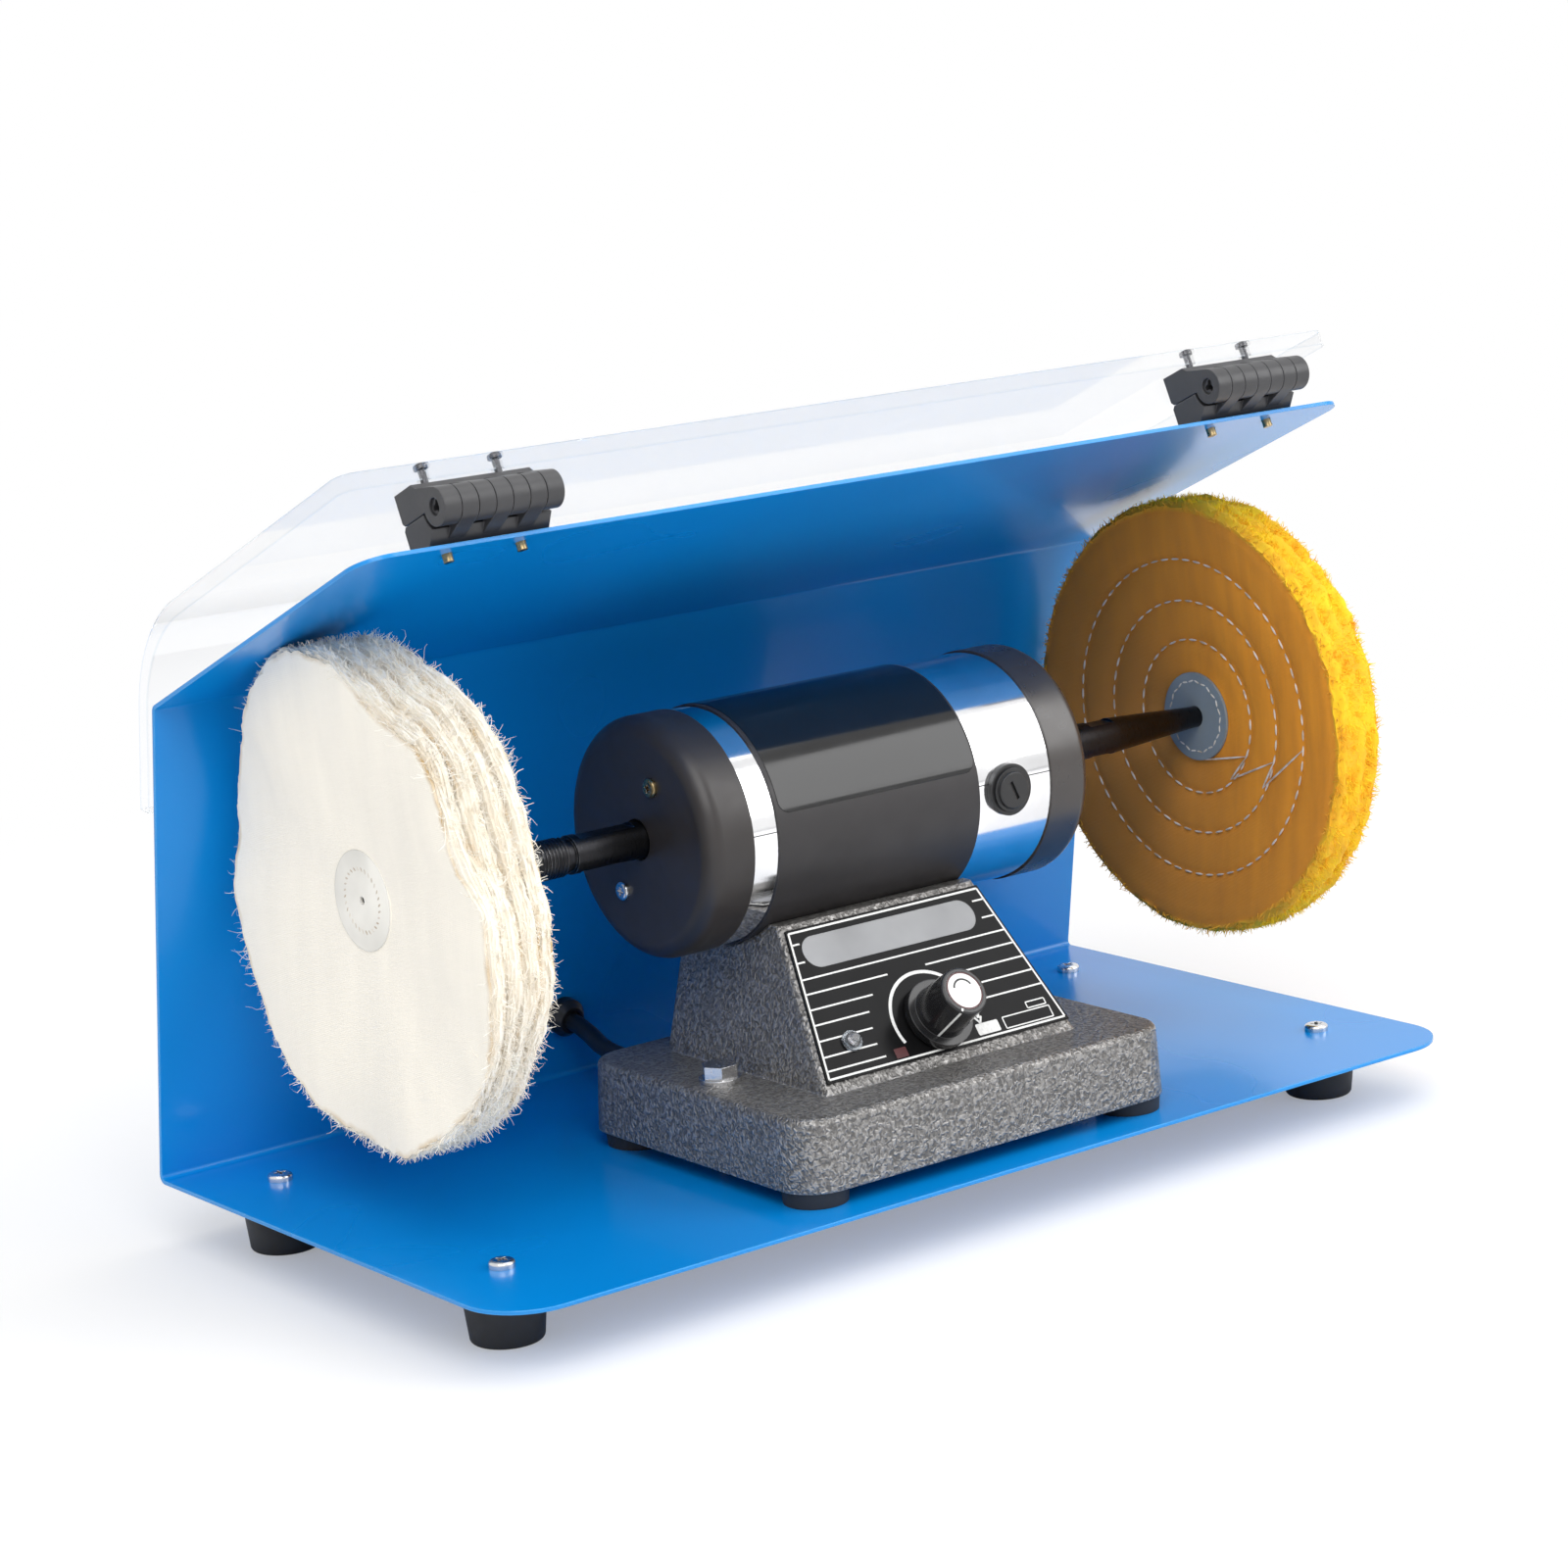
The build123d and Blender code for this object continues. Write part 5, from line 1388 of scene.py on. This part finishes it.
@dataclass
class WhiteBuff:
    """Loose cotton buff: cloth discs sewn at the hub, wavy, grooved and frayed at the rim.

    Dents and flares have a height in millimetres and a centre and width in degrees. The rags have a
    height in millimetres and how fast they change round the rim and through the stack.
    """

    centre_x: float = -0.160
    radius: float = 0.0743
    limit: float = 0.0769
    bore: float = 0.0062
    hub_half: float = 0.0054
    rim_half: float = 0.0098
    plies: int = 28
    bundle: int = 7
    thickness: float = 0.0008
    steps: int = 180
    outer_rings: tuple[float, ...] = (0.0, 0.15, 0.3, 0.45, 0.58, 0.7, 0.8, 0.88, 0.94, 0.975, 1.0)
    inner_rings: tuple[float, ...] = (0.72, 0.86, 0.95, 1.0)
    outer_dents: tuple[Point, ...] = (
        (9.0, 66.0, 20.0), (8.5, 23.0, 15.0), (-1.8, 112.0, 18.0), (-1.4, -32.0, 22.0),
    )
    dent: Point = (4.2, 12.0, 20.0)
    flares: tuple[Point, ...] = (
        (4.4, 180.0, 55.0), (-3.2, 118.0, 24.0), (2.2, -34.0, 28.0), (-3.4, 50.0, 34.0),
    )
    rags: tuple[Point, ...] = ((1.6, 5.0, 6.0), (0.8, 17.0, 31.0), (0.9, 41.0, 57.0))
    groove: float = 1.3
    threads: int = 12600
    short_share: float = 0.95
    tufts: tuple[Spot, ...] = ((97.0, 22.0), (40.0, 10.0), (-28.0, 8.0), (-78.0, 16.0), (205.0, 12.0))
    seed: int = 11
    hub_stitches: int = 30
    stitch_circle: float = 0.0094
    stitch_face: float = -0.0068
    stitch_size: Point = (0.00012, 0.0009, 0.00035)
    stitch_turn: float = 35.0

    def rim(self, order: float, angle: float) -> Spot:
        """Edge of the cloth.

        Args:
            order: Depth through the stack, 0 on the outer side and 1 on the motor's.
            angle: Angle round the shaft in degrees.

        Returns:
            Radius of the edge and its place along the shaft from the buff's middle.
        """
        turn = math.radians(angle)
        outer = (1.0 - order) ** 1.4
        dent = outer * humps(angle, self.outer_dents) + humps(angle, [self.dent])
        spot = Vector((math.cos(turn), math.sin(turn)))
        ragged = sum(height * drifting(spot * fine, order * deep) for height, fine, deep in self.rags)
        groove = self.groove * self.lip(order) * max(0.0, 0.9 + 1.3 * drifting(spot * 2.4, order * 5.0))
        radius = self.radius - (dent + groove - ragged) * MM
        bundle = int(order * (self.plies - 0.5) / self.bundle)
        wave = 1.0 * math.sin(3.0 * turn + order) + 0.7 * math.sin(7.0 * turn + 2.2 * order + 0.4)
        wave += 1.1 * drifting(spot * 2.2, 3.7 * bundle) + outer * humps(angle, self.flares)
        return radius, (2.0 * order - 1.0) * self.rim_half + wave * MM

    def lip(self, order: float) -> float:
        """How near a disc lies to the groove between two bundles, from 0 to 1."""
        share = (order * (self.plies - 1)) % self.bundle / (self.bundle - 1)
        return min(1.0, abs(2.0 * share - 1.0)) ** 3

    def build(self) -> None:
        """Make the cloth and its frayed threads."""
        finish_node(CARD, "white_buff_discs")
        self.cloth()
        self.fringe()
        self.sew_hub()

    def cloth(self) -> None:
        """Stack of cloth discs; only the outer two are seen down to the hub."""
        outside = as_mesh(self.flat(self.outer_rings), "whole_disc")
        inside = as_mesh(self.flat(self.inner_rings), "ring_disc")
        stack = bmesh.new()
        stack.verts.layers.float.new("fray")
        for ply in range(self.plies):
            disc = bmesh.new()
            disc.verts.layers.float.new("fray")
            disc.from_mesh(outside if ply in (0, self.plies - 1) else inside)
            self.drape(disc, ply / (self.plies - 1))
            mesh = as_mesh(disc, "draped_disc")
            stack.from_mesh(mesh)
            bpy.data.meshes.remove(mesh)
        add_piece("white_buff_cloth", place(stack, BENCH.motor), COTTON, Body.ROTOR,
                  ["white_buff"], 70.0)

    def flat(self, shares: Sequence[float]) -> bmesh.types.BMesh:
        """Flat disc whose rings lie between radius 1 and 2."""
        return lathe([(0.0, 1.0 + share) for share in shares], self.steps)

    def drape(self, disc: bmesh.types.BMesh, order: float) -> None:
        """Shape one flat disc into its place and give it thickness.

        Args:
            disc: Flat disc whose rings run from 1 to 2.
            order: Its depth through the stack.
        """
        fray = disc.verts.layers.float["fray"]
        hub = (2.0 * order - 1.0) * self.hub_half
        tint = 0.25 + 0.75 * self.lip(order)
        last = self.outer_rings[-2]
        for vert in disc.verts:
            share = math.hypot(vert.co.y, vert.co.z) - 1.0
            angle = math.degrees(math.atan2(vert.co.z, -vert.co.y))
            radius, rim = self.rim(order, angle)
            lift = share * share * (3.0 - 2.0 * share)
            crease = drifting(vert.co.yz * 3.0, order * 2.0) * 0.6 * MM * share
            vert.co = rim_point(angle, self.bore + (radius - self.bore) * share,
                                self.centre_x + hub + (rim - hub) * lift + crease)
            patch = 0.55 + 1.6 * drifting(vert.co.yz * 70.0, order * 13.0)
            vert[fray] = tint * max(0.0, (share - last) / (1.0 - last)) * min(1.0, max(0.0, patch))
        bmesh.ops.solidify(disc, geom=disc.faces[:], thickness=self.thickness)
        bmesh.ops.recalc_face_normals(disc, faces=disc.faces)

    def fringe(self) -> None:
        """Loose threads along every edge, in three pieces through the stack."""
        rng = random.Random(self.seed)
        short, long = fibres(16, 0.05, 0.8, 1, rng), fibres(12, 0.02, 1.0, 4, rng)
        bands = ("outer", "middle", "inner")
        for index, band in enumerate(bands):
            yarn = bmesh.new()
            for _ in range(self.threads):
                order = (index + rng.random() ** 1.3) / len(bands)
                if rng.random() < self.short_share:
                    angle = rng.uniform(0.0, 360.0)
                    length = rng.uniform(0.8, 2.1) if rng.random() < 0.8 else rng.uniform(2.1, 4.0)
                    length *= 1.0 - 0.65 * hump(angle, 160.0, 45.0) * (1.0 - order)
                    self.thread(yarn, rng.choice(short), (order, angle), length * MM, rng)
                else:
                    angle = rng.gauss(*rng.choice(self.tufts))
                    self.thread(yarn, rng.choice(long), (order, angle), rng.uniform(3.5, 7.5) * MM, rng)
            keep_inside(yarn, self.limit)
            add_piece(f"white_buff_fringe_{band}", place(yarn, BENCH.motor), COTTON_YARN, Body.ROTOR)

    def thread(self, yarn: bmesh.types.BMesh, pattern: bpy.types.Mesh, spot: Spot, length: float,
               rng: random.Random) -> None:
        """Add one thread on an edge, kept inside the room that the buff turns in.

        Args:
            yarn: Shape that grows.
            pattern: Bent thread.
            spot: Depth through the stack and angle in degrees.
            length: Length of the thread.
            rng: Seeded source of chance.
        """
        order, angle = spot
        radius, rim = self.rim(order, angle)
        along = self.centre_x + rim + rng.uniform(-0.5, 0.5) * MM
        root = rim_point(angle, radius - rng.uniform(0.2, 1.1) * MM, along)
        lean = rng.gauss(0.0, 0.6) - 0.5 * max(0.0, 1.0 - order / 0.12)
        outward, around = rim_point(angle, rng.uniform(0.25, 1.0), lean), rim_point(angle + 90.0, 1.0, 0.0)
        way = outward + around * rng.gauss(0.0, 0.7)
        roll = Matrix.Rotation(rng.uniform(0.0, TURN), 4, "Z")
        stamp(yarn, pattern, stand(root, way, length, self.limit, 0.2) @ roll)

    def sew_hub(self) -> None:
        """Ring of small stitches pressed into the outer hub disc."""
        stitch = bmesh.new()
        bmesh.ops.create_icosphere(stitch, subdivisions=1, radius=1.0)
        bmesh.ops.scale(stitch, vec=self.stitch_size, verts=stitch.verts)
        pattern = as_mesh(stitch, "hub_stitch")
        ring = bmesh.new()
        for index in range(self.hub_stitches):
            angle = index * 360.0 / self.hub_stitches
            spot = Matrix.Translation(rim_point(angle, self.stitch_circle, self.centre_x + self.stitch_face))
            stamp(ring, pattern, spot @ Matrix.Rotation(-math.radians(angle + self.stitch_turn), 4, "X"))
        add_piece("white_hub_stitches", place(ring, BENCH.motor), STITCH, Body.ROTOR)


@dataclass
class YellowBuff:
    """Stitched treated-cotton buff with a fluffy rim.

    A seam's dents are depths in millimetres at distances from its row. The crossing that joins the rows has
    angles in degrees with their radii.
    """

    centre_x: float = 0.1685
    radius: float = 0.0732
    limit: float = 0.0760
    bore: float = 0.0068
    hub_flat: float = 0.0170
    hub_half: float = 0.0055
    rim_half: float = 0.0092
    cup: float = -0.0022
    face_edge: float = 0.0700
    rows: tuple[float, ...] = (0.0262, 0.0396, 0.0538)
    seam: tuple[Spot, ...] = ((-3.0, 0.0), (-1.0, 0.4), (0.0, 0.7), (1.0, 0.4), (3.0, 0.0))
    crossing: tuple[Spot, ...] = (
        (-74.0, 0.0150), (-25.0, 0.0262), (-52.0, 0.0252), (-16.0, 0.0396), (-33.0, 0.0380), (-5.0, 0.0538),
    )
    stitch_step: float = 0.0052
    stitch_half: float = 0.0018
    stitch_radius: float = 0.00034
    hub_stitches: int = 26
    hub_circle: Spot = (0.0118, 0.0124)
    hub_disc: float = 0.0152
    hub_disc_lift: float = 0.0011
    # station along X up to which painted shade darkens the rim
    painted_shade_end: float = 0.161
    fibres: int = 10000
    steps: int = 180
    seed: int = 23

    def section(self, radius: float) -> Spot:
        """Middle and half thickness of the buff at a distance from the shaft."""
        share = min(1.0, max(0.0, (radius - self.hub_flat) / (self.face_edge - self.hub_flat)))
        return self.cup * share * share, self.hub_half + (self.rim_half - self.hub_half) * share

    def profile(self) -> list[Spot]:
        """Outline of one half section, from the inner bore over the rim to the outer bore.

        Returns:
            Stations from the middle with their radii.
        """
        face = [(self.bore, 0.0), (0.016, 0.0), (0.0205, 0.0)]
        for row in self.rows:
            face += [(row + away * MM, dip * MM) for away, dip in self.seam]
        face += [(0.061, 0.0), (0.066, 0.0), (0.069, 0.0), (self.face_edge, 0.0003)]
        left, right = [], []
        for radius, dip in face:
            middle, half = self.section(radius)
            left.append((middle - half + dip, radius))
            right.append((middle + half - dip, radius))
        crown = []
        for step in range(1, 32):
            swing = math.pi * step / 32
            fold = 0.0005 * math.cos(8.0 * swing)
            crown.append((self.cup - math.cos(swing) * self.rim_half * 1.01,
                          self.face_edge + (self.radius - self.face_edge) * math.sin(swing) ** 0.4 + fold))
        return left + crown + right[::-1]

    def build(self) -> None:
        """Make the cloth, its stitching and its fluff."""
        finish_node(CARD_BLUE, "yellow_buff_discs")
        self.cloth()
        self.fluff()
        self.stitching()

    def cloth(self) -> None:
        """Sewn stack with dents along the seams and a clumped rim."""
        stack = lathe(self.profile(), self.steps)
        fray, painted_shade = stack.verts.layers.float.new("fray"), stack.verts.layers.float.new("painted_shade")
        for vert in stack.verts:
            radius = math.hypot(vert.co.y, vert.co.z)
            angle = math.degrees(math.atan2(vert.co.z, -vert.co.y))
            edge = 1.0 if radius > self.face_edge + 0.0001 else 0.0
            spot = Vector((vert.co.x * 260.0, vert.co.y * 150.0, vert.co.z * 150.0))
            clump = noise.noise(spot) + 0.7 * noise.noise(spot * 2.1)
            ripple = drifting(vert.co.yz * 60.0, vert.co.x * 20.0)
            along = vert.co.x + self.centre_x + edge * clump * 0.6 * MM + 0.15 * MM * ripple
            vert.co = rim_point(angle, radius + edge * clump * 1.3 * MM, along)
            vert[fray] = edge
            # painted shade: darker towards the back of the face and, on the rim, next to the inner face
            near = min(1.0, max(0.0, (self.painted_shade_end - along) / 0.004)) if edge else 1.0
            vert[painted_shade] = near * (0.5 - 0.5 * math.cos(math.radians(angle - 15.0)))
        add_piece("yellow_buff_cloth", place(stack, BENCH.motor), AMBER, Body.ROTOR,
                  ["yellow_buff"], 70.0)

    def fluff(self) -> None:
        """Short matted fibres over the rim."""
        rng = random.Random(self.seed)
        patterns = fibres(12, 0.085, 0.8, 1, rng)
        yarn = bmesh.new()
        for _ in range(self.fibres):
            angle = rng.uniform(0.0, 360.0)
            share = rng.uniform(-1.0, 1.0)
            along = self.centre_x + self.cup + share * self.rim_half * 1.04
            crown = self.radius - 0.0004 - 0.0022 * abs(share) ** 6
            root = rim_point(angle, crown - rng.uniform(0.0, 0.7) * MM, along)
            comb = 1.6 * noise.noise(Vector((root.x * 260.0, root.y * 120.0, root.z * 120.0)))
            way = rim_point(angle + 90.0, comb + rng.gauss(0.0, 0.5), 0.0)
            way += rim_point(angle, 0.7, 0.25 * share + rng.gauss(0.0, 0.3))
            spot = stand(root, way, rng.uniform(1.2, 2.9) * MM, self.limit, 0.3)
            pattern = rng.choice(patterns)
            stamp(yarn, pattern, spot @ Matrix.Rotation(rng.uniform(0.0, TURN), 4, "Z"))
        keep_inside(yarn, self.limit)
        add_piece("yellow_buff_fluff", place(yarn, BENCH.motor), AMBER_YARN, Body.ROTOR)

    def face_at(self, radius: float, side: int) -> float:
        """Place of a face along the shaft, without its dents.

        Args:
            radius: Distance from the shaft.
            side: -1 for the inner face, 1 for the outer one.

        Returns:
            Station along X.
        """
        middle, half = self.section(radius)
        return self.centre_x + middle + side * half

    def stitching(self) -> None:
        """Dashed rows of thread on both faces, with the crossing that joins them."""
        dash = bmesh.new()
        bmesh.ops.create_cone(dash, cap_ends=True, segments=6, radius1=1.0, radius2=1.0, depth=2.0)
        long = [edge for edge in dash.edges if edge.calc_length() > 1.9]
        bmesh.ops.subdivide_edges(dash, edges=long, cuts=3)
        for vert in dash.verts:
            vert.co.xy = vert.co.xy * math.sqrt(max(0.08, 1.0 - (abs(vert.co.z) ** 3) * 0.92))
        pattern = as_mesh(dash, "stitch_dash")
        thread = bmesh.new()
        for side in (-1, 1):
            for row in self.rows:
                count = round(TURN * row / self.stitch_step)
                half = math.degrees(self.stitch_half / row)
                for index in range(count):
                    angle = 360.0 * (index + 0.3 * (side > 0)) / count
                    self.sew(thread, pattern, (angle - half, row), (angle + half, row), side)
        for start, end in zip(self.crossing, self.crossing[1:]):
            self.sew(thread, pattern, start, end, -1)
        for index in range(self.hub_stitches):
            angle = index * 360.0 / self.hub_stitches
            start, end = self.hub_circle if index % 2 == 0 else self.hub_circle[::-1]
            self.sew(thread, pattern, (angle - 6.0, start), (angle + 6.0, end), -1)
        add_piece("yellow_buff_stitching", place(thread, BENCH.motor), STITCH, Body.ROTOR)

    def sew(self, thread: bmesh.types.BMesh, pattern: bpy.types.Mesh, start: Spot, end: Spot,
            side: int) -> None:
        """Lay one stitch on a face.

        Args:
            thread: Shape that grows.
            pattern: Dash of half length 1 along Z.
            start: Angle in degrees and radius.
            end: Angle in degrees and radius.
            side: Face to lie on.
        """
        ends = []
        for angle, radius in (start, end):
            lift = self.hub_disc_lift if radius < self.hub_disc else 0.05 * MM
            ends.append(rim_point(angle, radius, self.face_at(radius, side) + side * lift))
        run = ends[1] - ends[0]
        turn = run.to_track_quat("Z", "X").to_matrix().to_4x4()
        size = Matrix.Diagonal((self.stitch_radius, self.stitch_radius, run.length / 2, 1.0))
        stamp(thread, pattern, Matrix.Translation((ends[0] + ends[1]) / 2) @ turn @ size)


@dataclass
class PowerCord:
    """Mains cord from the pedestal through the back wall to its put-away coil.

    The stations are where the half turns of the coil cross its middle line, and the lead runs from the last
    one to the plug, both in millimetres.
    """

    diameter: float = 0.006
    length: float = 1.79
    coil_x: float = 0.078
    coil_y: float = 0.162
    low: float = 0.0044
    high: float = 0.0110
    stations: tuple[float, ...] = (
        46.2, -46.2, 39.6, -39.6, 33.0, -33.0, 26.4, -26.4, 19.8, -33.0, 26.4, -39.6, 33.0, -46.2, 39.6,
    )
    lower_half_turns: int = 7
    tightening: float = 0.981
    half_turn_points: int = 8
    lead: Point = (6.0, 20.0, 36.0)

    def route(self) -> list[Point]:
        """Corners of the free run, from the pedestal to the coil."""
        return [
            (-0.0420, 0.047775, 0.0370), (-0.0420, 0.061775, 0.0370), (-0.0370, 0.078925, 0.040589),
            (-0.0370, 0.112483, 0.046054), (-0.0220, 0.136030, 0.0400), (0.0070, 0.143030, 0.0280),
            (0.0280, 0.128000, 0.0130), (0.0530, 0.115800, 0.0044), (0.0780, 0.115800, 0.0044),
        ]

    def coil(self) -> list[Point]:
        """Points round the coil's half turns and along the lead to the plug.

        Returns:
            Control points in order.
        """
        points = []
        for index, (start, end) in enumerate(zip(self.stations, self.stations[1:])):
            middle, reach = (start + end) / 2, (start - end) / 2 / self.tightening
            for step in range(self.half_turn_points):
                share = (step + 0.5) / self.half_turn_points
                swing = math.pi * share
                climb = min(1.0, max(0.0, index - self.lower_half_turns + share))
                points.append((
                    self.coil_x + reach * math.sin(swing) * MM,
                    self.coil_y - (middle + reach * math.cos(swing)) * MM,
                    self.low + (self.high - self.low) * climb,
                ))
        end_y = self.coil_y - self.stations[-1] * MM
        return points + [(self.coil_x + lead * MM, end_y, self.high) for lead in self.lead]

    def build(self) -> None:
        points = self.route() + self.coil()
        curve = bpy.data.curves.new("mains_cord", "CURVE")
        curve.dimensions = "3D"
        curve.bevel_depth = self.diameter / 2
        curve.bevel_resolution = 3
        curve.resolution_u = 4
        curve.use_fill_caps = True
        line = curve.splines.new("NURBS")
        line.points.add(len(points) - 1)
        for knot, point in zip(line.points, points):
            knot.co = (*point, 1.0)
        line.order_u = 3
        line.use_endpoint_u = True
        curve.materials.append(CORD)
        cord = show("mains_cord", curve)
        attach(cord, Body.HOUSING.value)
        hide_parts("power_cord", "cord_coil")
        finish_node(SATIN, "plug_body", "cord_tie")
        finish_node(BRASS, "plug_pins")
        LOG.info("mains_cord: %d points", len(points))


@dataclass
class Studio:
    """Pale floor, soft light and the camera."""

    ambient: float = 0.55
    floor_half: float = 6.0
    lamp_aim: Point = (0.0, 0.0, 0.1)
    camera_spot: Point = (-0.74186, -0.98261, 0.37955)
    camera_aim: Point = (-0.00868, 0.0, 0.12757)
    camera_roll: float = -3.696
    camera_lens: float = 91.955
    camera_sensor: float = 36.0

    def build(self) -> None:
        """Set up everything round the object."""
        self.world()
        self.floor()
        self.lamp("key", (-1.3, -1.7, 2.2), 2.0, 46.0)
        self.lamp("top", (0.5, -0.3, 2.6), 2.4, 26.0)
        self.lamp("right", (1.9, -1.8, 1.5), 1.8, 32.0)
        self.camera()

    def world(self) -> None:
        """White surroundings for the camera and reflections, dimmer for the light they give."""
        world = bpy.data.worlds.new("studio")
        bpy.context.scene.world = world
        world.use_nodes = True
        nodes, links = world.node_tree.nodes, world.node_tree.links
        path = nodes.new("ShaderNodeLightPath")
        seen = path.outputs["Is Camera Ray"]
        for name in ("Is Glossy Ray", "Is Transmission Ray"):
            join = nodes.new("ShaderNodeMath")
            join.operation = "MAXIMUM"
            links.new(seen, join.inputs[0])
            links.new(path.outputs[name], join.inputs[1])
            seen = join.outputs[0]
        level = nodes.new("ShaderNodeMapRange")
        level.inputs["To Min"].default_value = self.ambient
        links.new(seen, level.inputs["Value"])
        background = nodes["Background"]
        background.inputs["Color"].default_value = (1.0, 1.0, 1.0, 1.0)
        links.new(level.outputs["Result"], background.inputs["Strength"])

    def floor(self) -> None:
        """Pale floor that fades into the white surroundings."""
        shape = bmesh.new()
        bmesh.ops.create_grid(shape, x_segments=8, y_segments=8, size=self.floor_half)
        mesh = as_mesh(shape, "studio_floor")
        floor = show("studio_floor", mesh)
        tree = Tree("studio_paper")
        tree.dress({
            "Base Color": tree.ramp(tree.noise(3.0), (0.3, (0.9, 0.9, 0.91)), (0.7, (0.92, 0.92, 0.925))),
            "Roughness": 0.9,
            "Specular IOR Level": 0.1,
        })
        away = tree.nodes.new("ShaderNodeVectorMath")
        away.operation = "LENGTH"
        tree.links.new(tree.place, away.inputs[0])
        path = tree.nodes.new("ShaderNodeLightPath")
        far = tree.spread(away.outputs["Value"], 0.3, 1.0, 0.3, 0.75)
        share = tree.math("MULTIPLY", far, path.outputs["Is Camera Ray"])
        white = tree.nodes.new("ShaderNodeEmission")
        blend = tree.nodes.new("ShaderNodeMixShader")
        tree.links.new(share, blend.inputs[0])
        tree.links.new(tree.shader.outputs[0], blend.inputs[1])
        tree.links.new(white.outputs[0], blend.inputs[2])
        tree.links.new(blend.outputs[0], tree.nodes["Material Output"].inputs["Surface"])
        mesh.materials.append(tree.material)

    def facing(self, spot: Point, aim: Point) -> Matrix:
        """Place of a lamp or camera that looks from one point at another."""
        way = Vector(aim) - Vector(spot)
        return Matrix.Translation(spot) @ way.to_track_quat("-Z", "Y").to_matrix().to_4x4()

    def lamp(self, name: str, spot: Point, size: float, power: float) -> None:
        """Hang a soft lamp that faces the object.

        Args:
            name: Name of the lamp.
            spot: Where it hangs.
            size: Side of its square.
            power: Watts.
        """
        light = bpy.data.lights.new(name, "AREA")
        light.size = size
        light.energy = power
        show(name, light).matrix_world = self.facing(spot, self.lamp_aim)

    def camera(self) -> None:
        """Stand the camera at the photograph's place."""
        lens = bpy.data.cameras.new("camera")
        lens.lens = self.camera_lens
        lens.sensor_width = self.camera_sensor
        camera = show("camera", lens)
        roll = Matrix.Rotation(math.radians(self.camera_roll), 4, "Z")
        camera.matrix_world = self.facing(self.camera_spot, self.camera_aim) @ roll
        bpy.context.scene.camera = camera


def main() -> None:
    """Build the assemblies in order."""
    logging.basicConfig(level=logging.INFO, format="%(name)s %(message)s")
    bpy.context.scene.view_settings.view_transform = "Standard"
    for assembly in (Studio(), PowerCord(), Housing(), HingedHood(), Pedestal(), ControlPanel(), Motor(),
                     Spindles(), WhiteBuff(), YellowBuff()):
        LOG.info("building %s", type(assembly).__name__)
        assembly.build()


if __name__ == "__main__":
    main()
